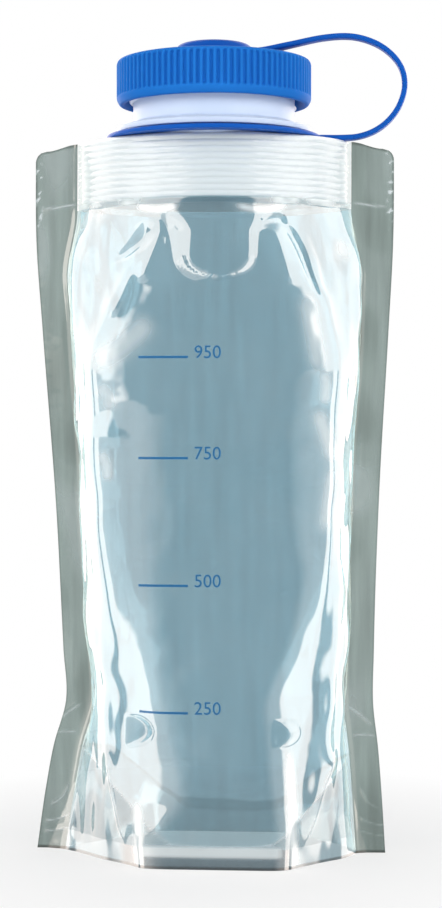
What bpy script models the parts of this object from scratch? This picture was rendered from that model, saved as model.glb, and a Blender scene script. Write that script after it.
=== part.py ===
"""Collapsible stand-up water bottle.

A pouch of clear film stands on a folded bottom gusset. Its front and back walls are welded to each
other down both sides, and round a ribbed, boat-shaped neck fitting at the top. A fluted screw cap
closes the neck, and a one-piece strap ties the cap to a ring that turns below the neck's flange.

Lengths are in metres and +Z is up. The front of the bottle faces -Y. The origin lies on the ground
under the middle of the whole part, so the neck's axis stands a little to the left of it, because the
strap's loop reaches out to the right.
"""

import math

import bmesh
import bpy
import numpy as np

MM = 0.001

# Clearance between neighbouring pieces, and the neck axis's place in the part's frame
GAP = 0.3 * MM
NECK_X = -2.1 * MM

# Pouch films: thickness of one wall, half thickness of the welded side strips, and the main levels
FILM = 0.5 * MM
SEAM_HALF = 0.65 * MM
HEM_THICKNESS = 1.0 * MM
HEM_TOP = 7.0 * MM
GUSSET_TOP = 37.0 * MM
WELD_BOTTOM = 225.0 * MM
FILM_TOP = 248.3 * MM

# Side strips: width, where they widen towards the boat, and the flap beside it, whose top falls away
SEAL_WIDTH = 10.3 * MM
SEAL_FLARE = 200.0 * MM
FLAP_START = 48.0 * MM
FLAP_DROP = 2.4 * MM
FLAP_CORNER = 4.0 * MM

# Outer side edges of the pouch, measured from the neck axis at a few levels
EDGE_LEVELS = np.array([0, 22, 37, 52, 71, 127, 183, 212, 250]) * MM
LEFT_EDGE = np.array([-62.8, -59.6, -56.8, -52.6, -53.4, -56.3, -60.6, -62.6, -62.8]) * MM
RIGHT_EDGE = np.array([60.2, 58.8, 57.6, 55.9, 56.1, 57.9, 61.0, 62.5, 62.8]) * MM

# Ridges of a wall's form, from left to right: X and the depth from the middle plane at each level
RIDGE_LEVELS = np.array([0, 10, 24, 40, 56, 75, 95, 115, 150, 180, 195, 210, 225]) * MM
RIDGES = np.array([
    [(-46.6, 7.6), (-45.5, 8.0), (-45.0, 7.0), (-44.0, 6.0), (-43.0, 6.0), (-45.2, 7.0), (-46.2, 8.0),
     (-46.8, 8.5), (-48.0, 9.0), (-49.8, 9.0), (-50.2, 9.0), (-48.5, 8.5), (-44.0, 6.9)],
    [(-38.0, 17.4), (-37.5, 17.4), (-36.0, 17.5), (-35.0, 19.0), (-36.0, 20.0), (-37.5, 21.0), (-38.0, 22.5),
     (-38.2, 23.5), (-38.5, 25.0), (-37.5, 24.0), (-34.0, 23.5), (-31.5, 22.0), (-32.0, 19.4)],
    [(-31.0, 25.4), (-30.5, 25.2), (-29.5, 25.0), (-29.5, 24.3), (-30.0, 25.0), (-31.0, 26.5), (-33.2, 27.7),
     (-34.5, 28.2), (-35.0, 29.0), (-33.0, 27.0), (-28.5, 26.5), (-26.0, 25.0), (-24.0, 24.3)],
    [(-25.5, 31.7), (-22.0, 31.2), (-13.0, 31.8), (-15.0, 31.7), (-17.5, 31.7), (-21.5, 31.5), (-27.0, 31.0),
     (-31.5, 30.8), (-31.0, 31.0), (-19.0, 30.6), (-16.0, 30.0), (-15.0, 29.0), (-14.0, 28.1)],
    [(2.0, 31.7), (2.0, 31.8), (4.0, 32.0), (3.0, 32.0), (2.0, 32.0), (3.0, 32.0), (4.0, 31.8),
     (3.0, 31.7), (3.0, 31.5), (3.0, 31.0), (3.0, 30.7), (2.0, 30.3), (0.0, 30.0)],
    [(30.0, 31.7), (29.0, 31.3), (24.0, 31.6), (22.5, 31.8), (21.5, 31.8), (28.5, 31.6), (35.5, 31.0),
     (37.0, 30.8), (36.0, 30.8), (29.0, 30.4), (27.0, 29.8), (20.0, 29.0), (14.0, 28.1)],
    [(35.0, 25.0), (34.0, 26.0), (32.0, 26.2), (34.5, 24.5), (34.5, 24.0), (35.5, 27.2), (38.0, 29.2),
     (39.0, 29.5), (39.0, 29.3), (37.5, 27.0), (34.0, 26.5), (29.0, 25.5), (25.0, 23.8)],
    [(40.0, 18.5), (40.0, 18.5), (40.0, 18.5), (40.5, 18.5), (40.5, 18.0), (41.0, 21.5), (41.5, 25.0),
     (42.0, 26.0), (42.5, 25.5), (43.0, 22.5), (40.0, 21.0), (36.0, 20.0), (34.0, 17.8)],
    [(46.0, 10.5), (46.5, 9.5), (46.0, 8.5), (45.5, 7.5), (46.3, 7.5), (48.1, 8.0), (48.3, 9.0),
     (48.6, 9.5), (50.0, 9.5), (52.0, 9.5), (52.0, 9.0), (50.0, 8.0), (44.5, 6.2)],
]) * MM

# The line where a wall folds in, and the depth of the film round the boat
FOLD_DEPTH = 30.5 * MM
BOAT_FILM_DEPTH = 30.0 * MM
FOLD_HEIGHT = 226.0 * MM

# Height of the weld between the floor and the walls, at each X
FLOOR_WELD_X = np.array([-52, -44, -36, -28.6, -20, -12.4, 14, 21.8, 26.5, 36, 44, 51]) * MM
FLOOR_WELD_Z = np.array([37, 35, 30, 22.6, 14, 7.6, 7.6, 8.6, 11.5, 22, 31, 37]) * MM

# How fine the pouch's films are drawn: columns between two ridges, levels, and columns elsewhere
RIDGE_STEPS = 2
WALL_LEVELS = 20
BOAT_FILM_COLUMNS = 19
GUSSET_COLUMNS = 19

# Edges that turn more than this are drawn sharp
SHARP_ANGLE = math.radians(35)

# Bottom gusset: how high its middle stands over its edges, and its clearance inside the walls
GUSSET_RISE = 11.0 * MM
GUSSET_INSET = 2.0 * MM

# Boat of the neck fitting
BOAT_BOTTOM = 227.0 * MM
BOAT_TOP = 248.6 * MM
BOAT_HALF_LENGTH = 46.8 * MM
BOAT_HALF_DEPTH = 29.2 * MM
BOAT_TIP_HALF = 0.6 * MM
RIB_COUNT = 10
RIB_DEPTH = 0.7 * MM

# Neck above the boat
SPOOL_RADIUS = 28.4 * MM
FLANGE_RADIUS = 34.2 * MM
FLANGE_BOTTOM = 252.4 * MM
FLANGE_TOP = 253.9 * MM
NECK_FOOT = 257.0 * MM
NECK_RADIUS = 28.2 * MM
NECK_TOP = 274.0 * MM
BORE_RADIUS = 26.5 * MM

# Screw cap
CAP_RADIUS = 34.0 * MM
CAP_BOTTOM = 261.3 * MM
CAP_TOP = 277.0 * MM
CAP_CEILING = 274.4 * MM
CAP_BORE_RADIUS = 31.4 * MM
FLUTE_COUNT = 93
FLUTE_DEPTH = 0.6 * MM
FLUTE_BOTTOM = 265.0 * MM
FLUTE_TOP = 275.0 * MM
STUD_RADIUS = 5.0 * MM
STUD_TOP = 280.4 * MM

# Tether
RING_INNER = 29.2 * MM
RING_OUTER = 37.4 * MM
RING_BOTTOM = 249.3 * MM
RING_TOP = 251.6 * MM
DISC_RADIUS = 13.2 * MM
DISC_BOTTOM = CAP_TOP + GAP
DISC_TOP = 283.5 * MM
STRAP_THICKNESS = 2.0 * MM
STRAP_WIDTH = 5.0 * MM
STRAP_ROOT_WIDTH = 8.0 * MM

# The strap's middle line in the plane Y = 0, from the ring to the disc, as X from the neck axis and Z
STRAP_ROUTE = np.array([
    (37.8, 250.45), (44.0, 250.4), (50.5, 250.8), (56.2, 252.6), (61.0, 256.0), (64.6, 261.0),
    (66.4, 267.3), (65.4, 273.4), (61.8, 278.6), (56.0, 283.0), (48.0, 285.7), (38.3, 285.5),
    (25.1, 283.2), (13.6, 280.9),
]) * MM

# The route's points where the strap bends, so that it is cut there into its three zones
LOWER_BEND = 4
UPPER_BEND = 8

# Finish of each kind of piece: sRGB colour, roughness, and how much light passes
FINISHES = {
    "clear_film": ("#A9C3CD", 0.12, 0.55),
    "welded_film": ("#8E9E98", 0.2, 0.3),
    "white_moulding": ("#ECEFF6", 0.35, 0.1),
    "cap_blue": ("#2A78CC", 0.35, 0.0),
    "strap_blue": ("#1850A8", 0.35, 0.0),
}


def linear_colour(code):
    """Linear RGBA of an sRGB hex code."""
    channels = [int(code[i:i + 2], 16) / 255 for i in (1, 3, 5)]
    return [c / 12.92 if c <= 0.04045 else ((c + 0.055) / 1.055) ** 2.4 for c in channels] + [1.0]


def clear_scene():
    for obj in list(bpy.data.objects):
        bpy.data.objects.remove(obj)


def new_collection(name):
    collection = bpy.data.collections.new(name)
    bpy.context.scene.collection.children.link(collection)
    return collection


def new_pivot(name, point, collection, parent=None):
    """An empty on the axis of a joint, which the pieces that move there hang from."""
    pivot = bpy.data.objects.new(name, None)
    pivot.location = point
    pivot.parent = parent
    collection.objects.link(pivot)
    return pivot


def place(obj, collection, pivot, material=None):
    """Hangs a piece, drawn in the neck axis's own frame, from that axis or from a pivot on it."""
    collection.objects.link(obj)
    obj.parent = pivot
    if pivot.parent is not None:
        obj.matrix_parent_inverse = pivot.matrix_basis.inverted()
    if material is not None:
        obj.data.materials.append(material)


def shade_round(mesh):
    mesh.shade_smooth()
    mesh.set_sharp_from_angle(angle=SHARP_ANGLE)


def make_materials():
    """One Principled material for each finish."""
    made = {}
    for name, (code, roughness, transmission) in FINISHES.items():
        material = bpy.data.materials.new(name)
        material.use_nodes = True
        shader = material.node_tree.nodes["Principled BSDF"]
        shader.inputs["Base Color"].default_value = linear_colour(code)
        shader.inputs["Roughness"].default_value = roughness
        shader.inputs["Transmission Weight"].default_value = transmission
        made[name] = material
    return made


def smooth_step(x):
    x = np.clip(x, 0.0, 1.0)
    return x * x * (3.0 - 2.0 * x)


def smooth_curve(at, knots, values):
    """Cubic Hermite curve through values at knots, read at one place or at many."""
    slopes = np.gradient(values, knots)
    at = np.clip(at, knots[0], knots[-1])
    i = np.clip(np.searchsorted(knots, at) - 1, 0, len(knots) - 2)
    span = knots[i + 1] - knots[i]
    t = (at - knots[i]) / span
    return (
        values[i] * (1 + 2 * t) * (1 - t) ** 2
        + values[i + 1] * t * t * (3 - 2 * t)
        + span * slopes[i] * t * (1 - t) ** 2
        - span * slopes[i + 1] * t * t * (1 - t)
    )


# The pouch's shape


def side_edges(z):
    """Outer left and right edges of the pouch at a height."""
    return smooth_curve(z, EDGE_LEVELS, LEFT_EDGE), smooth_curve(z, EDGE_LEVELS, RIGHT_EDGE)


def free_span(z):
    """Middle and half width of the wall between its two side seals at a height."""
    left, right = side_edges(z)
    flare = smooth_step((z - SEAL_FLARE) / (WELD_BOTTOM - SEAL_FLARE))
    width = SEAL_WIDTH + (RIGHT_EDGE[-1] - FLAP_START - SEAL_WIDTH) * flare
    inner_left = left + width
    inner_right = right - width
    return (inner_left + inner_right) / 2, (inner_right - inner_left) / 2


def lens(x, half_length, half_depth):
    """Height at x of the circular arc over a chord, as a boat's plan has."""
    radius = (half_length ** 2 + half_depth ** 2) / (2 * half_depth)
    rise = np.sqrt(np.maximum(radius ** 2 - x ** 2, 0.0)) - (radius - half_depth)
    return np.maximum(rise, 0.0)


def wall_section(z):
    """Outer line of a wall at a height, from the left side seal to the right one: X and depth.

    Straight runs join neighbouring ridges, and each inner point is then averaged with its neighbours,
    which rounds the corners. No point reaches past the side seals' inner edges.
    """
    middle, half = free_span(z)
    ridges = [[smooth_curve(z, RIDGE_LEVELS, ridge[:, axis]) for axis in (0, 1)] for ridge in RIDGES]
    lines = np.array([(middle - half, SEAM_HALF), *ridges, (middle + half, SEAM_HALF)])
    at = np.linspace(0, len(lines) - 1, RIDGE_STEPS * (len(lines) - 1) + 1)
    points = np.stack([np.interp(at, np.arange(len(lines)), lines[:, axis]) for axis in (0, 1)], 1)
    points[1:-1] = (points[:-2] + 2 * points[1:-1] + points[2:]) / 4
    points[:, 0] = np.clip(points[:, 0], middle - half + GAP, middle + half - GAP)
    return points


def wall_depth(x, z):
    """Distance from the middle plane to the outside of the wall."""
    points = wall_section(z)
    return np.interp(x, points[:, 0], points[:, 1])


def sheet(name, rows, thickness, side):
    """A closed film made from rows of outer points, thickened inward.

    rows holds one list of points a level, from the lowest, each running from left to right. side is
    -1 for a wall that faces the front and 1 for one that faces the back.
    """
    mesh = bpy.data.meshes.new(name)
    across = len(rows[0])
    faces = []
    for level in range(len(rows) - 1):
        for column in range(across - 1):
            first = level * across + column
            face = (first, first + 1, first + 1 + across, first + across)
            faces.append(face if side < 0 else face[::-1])
    mesh.from_pydata([point for row in rows for point in row], [], faces)
    shade_round(mesh)
    obj = bpy.data.objects.new(name, mesh)
    solid = obj.modifiers.new("film_thickness", "SOLIDIFY")
    solid.thickness = thickness
    solid.offset = -1.0
    return obj


def wall_rows(levels, side):
    """Rows of outer points of a wall."""
    return [[(x, side * depth, z) for x, depth in wall_section(z)] for z in levels]


def hem_rows(side):
    """Rows of outer points of a hem, which stands upright so that its foot is flat."""
    section = wall_section(HEM_TOP)
    return [[(x, side * depth, z) for x, depth in section] for z in (0.0, HEM_TOP)]


def boat_rows(side):
    """Rows of outer points of the film that is welded round the boat."""
    middle, half = free_span(WELD_BOTTOM)
    xs = middle + np.sin(np.linspace(-1, 1, BOAT_FILM_COLUMNS) * math.pi / 2) * (half - GAP)
    depths = SEAM_HALF + lens(xs, FLAP_START - GAP, BOAT_FILM_DEPTH - SEAM_HALF)
    return [[(x, side * depth, z) for x, depth in zip(xs, depths)] for z in (WELD_BOTTOM, FILM_TOP)]


def make_wall(prefix, side):
    """One wall's free film, its welded hem and the film welded round the boat."""
    free_levels = np.linspace(HEM_TOP + GAP, WELD_BOTTOM - GAP, WALL_LEVELS)
    film = sheet(f"{prefix}_film", wall_rows(free_levels, side), FILM, side)
    hem = sheet(f"{prefix}_hem", hem_rows(side), HEM_THICKNESS, side)
    weld = sheet(f"{prefix}_neck_weld", boat_rows(side), FILM, side)
    return film, hem, weld


def gusset_point(u, v):
    """A point of the folded floor: u runs from left to right and v from front to back, each -1 to 1.

    Its two long edges rest on the hems in the middle, and climb to the side seals at both ends.
    """
    middle, half = free_span(GUSSET_TOP)
    x = middle + u * (half - 2 * GUSSET_INSET)
    edge = np.interp(x, FLOOR_WELD_X, FLOOR_WELD_Z)
    reach = wall_depth(x, edge) - GUSSET_INSET
    z = edge + GUSSET_RISE * (1 - u * u) * (1 - v * v)
    return (x, v * reach, z)


def make_gusset():
    """The floor film between the two hems, arched up into the pouch."""
    across = np.linspace(-1, 1, GUSSET_COLUMNS)
    along = np.linspace(-1, 1, 9)
    rows = [[gusset_point(u, v) for u in across] for v in along]
    return sheet("bottom_gusset", rows, FILM, -1)


def flat_plate(name, outline, half_thickness):
    """A closed outline in the X-Z plane, thickened both ways along Y."""
    curve = bpy.data.curves.new(name, "CURVE")
    curve.dimensions = "2D"
    curve.fill_mode = "BOTH"
    curve.extrude = half_thickness
    spline = curve.splines.new("POLY")
    spline.points.add(len(outline) - 1)
    for point, (x, z) in zip(spline.points, outline):
        point.co = (x, z, 0.0, 1.0)
    spline.use_cyclic_u = True
    obj = bpy.data.objects.new(name, curve)
    obj.rotation_euler = (math.pi / 2, 0.0, 0.0)
    return obj


def flap_top(x):
    """Height of the flap's top edge, which falls away outward from the boat."""
    outward = (abs(x) - FLAP_START) / (RIGHT_EDGE[-1] - FLAP_START)
    return FILM_TOP - FLAP_DROP * smooth_step(outward)


def seal_outline(side):
    """Outline of a side seal: side is -1 for the left strip and 1 for the right one."""
    def outer(z):
        return side_edges(z)[0 if side < 0 else 1]

    def inner(z):
        middle, half = free_span(z)
        return middle + side * half

    corner_x = outer(FILM_TOP) - side * FLAP_CORNER
    corner_z = flap_top(outer(FILM_TOP)) - FLAP_CORNER
    turn = np.linspace(0, math.pi / 2, 6)
    low = np.linspace(0.0, WELD_BOTTOM, 26)
    points = [(outer(z), z) for z in low]
    points += [(corner_x + side * FLAP_CORNER * math.cos(a), corner_z + FLAP_CORNER * math.sin(a)) for a in turn]
    points += [(x, flap_top(x)) for x in np.linspace(corner_x, side * FLAP_START, 6)[1:]]
    points += [(side * FLAP_START, WELD_BOTTOM)]
    points += [(inner(z), z) for z in low[::-1]]
    return points


# Moulded pieces


def lens_outline(half_length, half_depth, tip_half, count):
    """Closed plan of the boat: two arcs that meet in blunt tips, with count points on each arc."""
    xs = half_length * np.sin(np.linspace(-1, 1, count) * math.pi / 2)
    front = [(x, -tip_half - lens(x, half_length, half_depth - tip_half)) for x in xs]
    back = [(x, tip_half + lens(x, half_length, half_depth - tip_half)) for x in xs[::-1]]
    return front + back


def loft(name, rings):
    """A closed solid through rings of equal point counts, from the lowest, each anticlockwise."""
    mesh = bmesh.new()
    loops = [[mesh.verts.new(point) for point in ring] for ring in rings]
    count = len(rings[0])
    for low, high in zip(loops, loops[1:]):
        for i in range(count):
            j = (i + 1) % count
            mesh.faces.new((low[i], low[j], high[j], high[i]))
    mesh.faces.new(loops[0][::-1])
    mesh.faces.new(loops[-1])
    data = bpy.data.meshes.new(name)
    mesh.to_mesh(data)
    mesh.free()
    shade_round(data)
    return bpy.data.objects.new(name, data)


def turned(name, profile, steps):
    """A solid of revolution about Z. The profile starts and ends on the axis or closes on itself,
    and runs down its outer side."""
    mesh = bpy.data.meshes.new(name)
    closed = profile[0][0] > 0
    count = len(profile)
    edges = [(i, i + 1) for i in range(count - 1)] + ([(count - 1, 0)] if closed else [])
    mesh.from_pydata([(r, 0.0, z) for r, z in profile], edges, [])
    obj = bpy.data.objects.new(name, mesh)
    screw = obj.modifiers.new("turn", "SCREW")
    screw.steps = steps
    screw.render_steps = steps
    screw.use_merge_vertices = True
    screw.merge_threshold = 0.0001 * MM
    return obj


def add_boolean(obj, cutter, operation):
    modifier = obj.modifiers.new(cutter.name, "BOOLEAN")
    modifier.operation = operation
    modifier.object = cutter
    modifier.solver = "EXACT"


def hide_cutter(obj):
    obj.hide_render = True
    obj.display_type = "WIRE"


def make_fitting():
    """The neck fitting, and the two solids that shape it: the turned neck, and the bore."""
    rings = []
    for i in range(2 * RIB_COUNT + 1):
        z = BOAT_BOTTOM + (BOAT_TOP - BOAT_BOTTOM) * i / (2 * RIB_COUNT)
        sunk = RIB_DEPTH * (1 - i % 2)
        plan = lens_outline(BOAT_HALF_LENGTH - sunk, BOAT_HALF_DEPTH - sunk, BOAT_TIP_HALF, 23)
        rings.append([(x, y, z) for x, y in plan])
    boat = loft("neck_fitting", rings)
    shoulder = [
        (
            NECK_RADIUS + (FLANGE_RADIUS - NECK_RADIUS) * math.sin(a),
            FLANGE_TOP + (NECK_FOOT - FLANGE_TOP) * math.cos(a),
        )
        for a in np.linspace(0, math.pi / 2, 6)
    ]
    lip = 0.6 * MM
    inside_boat = BOAT_TOP - 2 * MM
    profile = [(0.0, NECK_TOP), (NECK_RADIUS - lip, NECK_TOP), (NECK_RADIUS, NECK_TOP - lip)]
    profile += shoulder
    profile += [(FLANGE_RADIUS, FLANGE_BOTTOM), (SPOOL_RADIUS, FLANGE_BOTTOM)]
    profile += [(SPOOL_RADIUS, inside_boat), (0.0, inside_boat)]
    neck = turned("neck_blank", profile, 72)
    bore_reach = 5 * MM
    bore_profile = [
        (0.0, NECK_TOP + bore_reach), (BORE_RADIUS, NECK_TOP + bore_reach),
        (BORE_RADIUS, BOAT_BOTTOM - bore_reach), (0.0, BOAT_BOTTOM - bore_reach),
    ]
    bore = turned("neck_bore", bore_profile, 72)
    add_boolean(boat, neck, "UNION")
    add_boolean(boat, bore, "DIFFERENCE")
    return boat, neck, bore


def make_cap():
    """The fluted cap, and the two solids that shape it: its hollow, and the stud on its top."""
    columns = 2 * FLUTE_COUNT
    edge = 0.3 * MM
    levels = [
        (CAP_BOTTOM, CAP_RADIUS - edge, 0.0),
        (CAP_BOTTOM + edge, CAP_RADIUS, 0.0),
        (FLUTE_BOTTOM - edge, CAP_RADIUS - edge / 2, 0.0),
        (FLUTE_BOTTOM + edge, CAP_RADIUS - edge / 2, FLUTE_DEPTH),
        (FLUTE_TOP - edge, CAP_RADIUS - edge, FLUTE_DEPTH),
        (FLUTE_TOP + edge, CAP_RADIUS - 1.5 * edge, 0.0),
        (CAP_TOP - 2 * edge, CAP_RADIUS - 4 * edge, 0.0),
        (CAP_TOP, CAP_RADIUS - 8 * edge, 0.0),
    ]
    rings = []
    for z, radius, groove in levels:
        ring = []
        for i in range(columns):
            angle = 2 * math.pi * i / columns
            r = radius - groove * (i % 2)
            ring.append((r * math.cos(angle), r * math.sin(angle), z))
        rings.append(ring)
    cap = loft("screw_cap", rings)
    below = 5 * MM
    hollow_profile = [
        (0.0, CAP_CEILING), (CAP_BORE_RADIUS, CAP_CEILING),
        (CAP_BORE_RADIUS, CAP_BOTTOM - below), (0.0, CAP_BOTTOM - below),
    ]
    hollow = turned("cap_hollow", hollow_profile, 72)
    chamfer = 0.4 * MM
    sunk = 1.0 * MM
    stud_profile = [
        (0.0, STUD_TOP), (STUD_RADIUS - chamfer, STUD_TOP), (STUD_RADIUS, STUD_TOP - chamfer),
        (STUD_RADIUS, CAP_TOP - sunk), (0.0, CAP_TOP - sunk),
    ]
    stud = turned("cap_stud", stud_profile, 24)
    add_boolean(cap, hollow, "DIFFERENCE")
    add_boolean(cap, stud, "UNION")
    return cap, hollow, stud


def make_tether_ring():
    """The flat ring that turns on the spool between the boat and the flange."""
    soft = 0.5 * MM
    profile = [
        (RING_INNER + soft, RING_TOP), (RING_OUTER - soft, RING_TOP), (RING_OUTER, RING_TOP - soft),
        (RING_OUTER, RING_BOTTOM + soft), (RING_OUTER - soft, RING_BOTTOM),
        (RING_INNER + soft, RING_BOTTOM), (RING_INNER, RING_BOTTOM + soft), (RING_INNER, RING_TOP - soft),
    ]
    return turned("tether_ring", profile, 48)


def make_tether_disc():
    """The domed disc on the cap, with the socket that snaps over the cap's stud."""
    socket_radius = STUD_RADIUS + GAP
    socket_top = STUD_TOP + GAP
    rim = 2.6 * MM
    dome = [
        (DISC_RADIUS * math.sin(a), DISC_TOP - rim * (1 - math.cos(a)))
        for a in np.linspace(0, math.pi / 2, 8)
    ]
    profile = dome + [
        (DISC_RADIUS, DISC_BOTTOM), (socket_radius, DISC_BOTTOM), (socket_radius, socket_top),
        (0.0, socket_top),
    ]
    return turned("tether_disc", profile, 40)


def strap_line(index):
    """A point of the strap's middle line. index may fall between the route's points."""
    knots = np.arange(len(STRAP_ROUTE), dtype=float)
    return np.array([
        smooth_curve(index, knots, STRAP_ROUTE[:, 0]), smooth_curve(index, knots, STRAP_ROUTE[:, 1])
    ])


def strap_width(index):
    """The strap is wider where it leaves the ring and the disc."""
    last = len(STRAP_ROUTE) - 1
    end_zone = 2.0
    near_end = 1 - smooth_step(min(index, last - index) / end_zone)
    return STRAP_WIDTH + (STRAP_ROOT_WIDTH - STRAP_WIDTH) * near_end


def strap_zone(name, first, last):
    """The strap between two places of its route, as a bar with eased edges."""
    soft = 0.4 * MM
    stations = np.linspace(first, last, 4 * (int(round(last - first))) + 1)
    rings = []
    for index in stations:
        here = strap_line(index)
        ahead = strap_line(index + 0.02) - strap_line(index - 0.02)
        along = ahead / np.linalg.norm(ahead)
        normal = np.array([-along[1], along[0]])
        half_width = strap_width(index) / 2
        half_thickness = STRAP_THICKNESS / 2
        section = [
            (-half_width + soft, -half_thickness), (half_width - soft, -half_thickness),
            (half_width, -half_thickness + soft), (half_width, half_thickness - soft),
            (half_width - soft, half_thickness), (-half_width + soft, half_thickness),
            (-half_width, half_thickness - soft), (-half_width, -half_thickness + soft),
        ]
        rings.append([(*(here + normal * up), across) for across, up in section])
    return loft(name, [[(x, y, z) for x, z, y in ring] for ring in rings])


def cut_gap(index):
    """The step along the route that leaves half a clearance at a cut."""
    step = np.linalg.norm(strap_line(index + 0.5) - strap_line(index - 0.5))
    return GAP / 2 / step


def make_strap():
    """The strap in three zones, cut at its two bends and clear of the ring and the disc."""
    last = len(STRAP_ROUTE) - 1
    low = cut_gap(LOWER_BEND)
    high = cut_gap(UPPER_BEND)
    return (
        strap_zone("tether_root", 0.0, LOWER_BEND - low),
        strap_zone("tether_loop", LOWER_BEND + low, UPPER_BEND - high),
        strap_zone("tether_arm", UPPER_BEND + high, float(last)),
    )


def main():
    clear_scene()
    bottle = new_collection("collapsible_water_bottle")
    cutters = new_collection("cutters")
    finish = make_materials()
    axis = new_pivot("neck_axis", (NECK_X, 0.0, 0.0), bottle)

    for prefix, side in (("front", -1), ("back", 1)):
        film, hem, weld = make_wall(prefix, side)
        fold = new_pivot(f"{prefix}_wall_fold", (0.0, side * FOLD_DEPTH, FOLD_HEIGHT), bottle, axis)
        place(film, bottle, fold, finish["clear_film"])
        place(hem, bottle, fold, finish["welded_film"])
        place(weld, bottle, axis, finish["clear_film"])
    for name, side in (("left_side_seal", -1), ("right_side_seal", 1)):
        place(flat_plate(name, seal_outline(side), SEAM_HALF), bottle, axis, finish["welded_film"])
    place(make_gusset(), bottle, axis, finish["clear_film"])

    fitting, *fitting_tools = make_fitting()
    cap, *cap_tools = make_cap()
    place(fitting, bottle, axis, finish["white_moulding"])
    place(cap, bottle, axis, finish["cap_blue"])
    for tool in fitting_tools + cap_tools:
        place(tool, cutters, axis)
        hide_cutter(tool)

    root, loop, arm = make_strap()
    bends = [
        new_pivot(name, (STRAP_ROUTE[index, 0], 0.0, STRAP_ROUTE[index, 1]), bottle, axis)
        for name, index in (("strap_bend_lower", LOWER_BEND), ("strap_bend_upper", UPPER_BEND))
    ]
    place(make_tether_ring(), bottle, axis, finish["strap_blue"])
    place(root, bottle, axis, finish["strap_blue"])
    place(loop, bottle, bends[0], finish["strap_blue"])
    place(arm, bottle, bends[1], finish["strap_blue"])
    place(make_tether_disc(), bottle, bends[1], finish["strap_blue"])


main()
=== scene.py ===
"""Looks of a collapsible water bottle: a clear film pouch, its moulded neck, cap and tether."""

import logging
import math
from dataclasses import dataclass, replace
from enum import Enum

import bpy
import numpy as np
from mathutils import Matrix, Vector


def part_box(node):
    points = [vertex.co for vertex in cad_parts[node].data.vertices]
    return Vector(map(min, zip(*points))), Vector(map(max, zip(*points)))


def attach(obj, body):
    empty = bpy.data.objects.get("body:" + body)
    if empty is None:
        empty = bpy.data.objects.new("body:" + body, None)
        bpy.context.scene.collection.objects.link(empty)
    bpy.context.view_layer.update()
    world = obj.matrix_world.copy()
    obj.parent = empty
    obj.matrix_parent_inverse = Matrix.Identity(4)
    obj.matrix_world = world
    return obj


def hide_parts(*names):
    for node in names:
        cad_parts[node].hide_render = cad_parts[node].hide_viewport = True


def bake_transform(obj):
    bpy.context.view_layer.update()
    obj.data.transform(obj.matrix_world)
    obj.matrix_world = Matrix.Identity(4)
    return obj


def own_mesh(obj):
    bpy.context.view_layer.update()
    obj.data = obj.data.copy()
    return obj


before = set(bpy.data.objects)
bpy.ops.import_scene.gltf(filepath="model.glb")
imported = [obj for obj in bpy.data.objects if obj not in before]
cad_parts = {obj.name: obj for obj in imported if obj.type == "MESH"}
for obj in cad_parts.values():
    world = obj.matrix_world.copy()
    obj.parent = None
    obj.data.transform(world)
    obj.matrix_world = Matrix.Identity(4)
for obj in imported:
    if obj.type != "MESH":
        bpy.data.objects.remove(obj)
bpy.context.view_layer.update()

LOG = logging.getLogger("bottle")
MM = 0.001
# An edge that bends by more than this is shaded sharp, as the cut edge of a film is
SHARP_ANGLE = math.radians(60)
# A noise texture mostly stays between these, by the numbers of Map Range's inputs
NOISE_RANGE = {1: 0.3, 2: 0.7}

# The neck's axis stands where the cap's middle is
CAP_LOW, CAP_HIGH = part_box("screw_cap")
AXIS_X = (CAP_LOW.x + CAP_HIGH.x) / 2


class Side(Enum):
    """Which wall of the pouch: the sign of its outward Y."""

    FRONT = -1
    BACK = 1


def linear(code: str) -> tuple[float, float, float, float]:
    """Turns an sRGB hex code to linear RGBA.

    Args:
        code: Colour such as "#2A78CC".

    Returns:
        Linear red, green, blue, and an alpha of 1.
    """
    channels = [int(code[i:i + 2], 16) / 255 for i in (1, 3, 5)]
    red, green, blue = (c / 12.92 if c <= 0.04045 else ((c + 0.055) / 1.055) ** 2.4 for c in channels)
    return red, green, blue, 1.0


def add_node(
    tree: bpy.types.NodeTree, kind: str, inputs: dict | None = None, **settings: object
) -> bpy.types.Node:
    """Adds a shader node with its settings, values and links.

    Args:
        tree: Node tree that gets the node.
        kind: Node type without its "ShaderNode" prefix.
        inputs: Value or source socket of each input, by name or number.
        settings: The node's own settings, by attribute name.

    Returns:
        The new node.
    """
    node = tree.nodes.new("ShaderNode" + kind)
    for name, value in settings.items():
        setattr(node, name, value)
    for key, value in (inputs or {}).items():
        if isinstance(value, bpy.types.NodeSocket):
            tree.links.new(value, node.inputs[key])
        else:
            node.inputs[key].default_value = value
    return node


def smooth_step(x: np.ndarray | float) -> np.ndarray | float:
    """Eases from 0 to 1: 3x² - 2x³ on x held between 0 and 1."""
    x = np.clip(x, 0.0, 1.0)
    return x * x * (3.0 - 2.0 * x)


def smooth_curve(at: np.ndarray | float, knots: np.ndarray, values: np.ndarray) -> np.ndarray | float:
    """Reads a cubic Hermite curve through values at knots.

    Args:
        at: Place or places where the curve is read.
        knots: Rising places of the given values.
        values: The curve's values there.

    Returns:
        The curve at those places, held at its end values beyond the knots.
    """
    slopes = np.gradient(values, knots)
    at = np.clip(at, knots[0], knots[-1])
    i = np.clip(np.searchsorted(knots, at) - 1, 0, len(knots) - 2)
    span = knots[i + 1] - knots[i]
    t = (at - knots[i]) / span
    return (
        values[i] * (1 + 2 * t) * (1 - t) ** 2
        + values[i + 1] * t * t * (3 - 2 * t)
        + span * slopes[i] * t * (1 - t) ** 2
        - span * slopes[i + 1] * t * t * (1 - t)
    )


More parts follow.
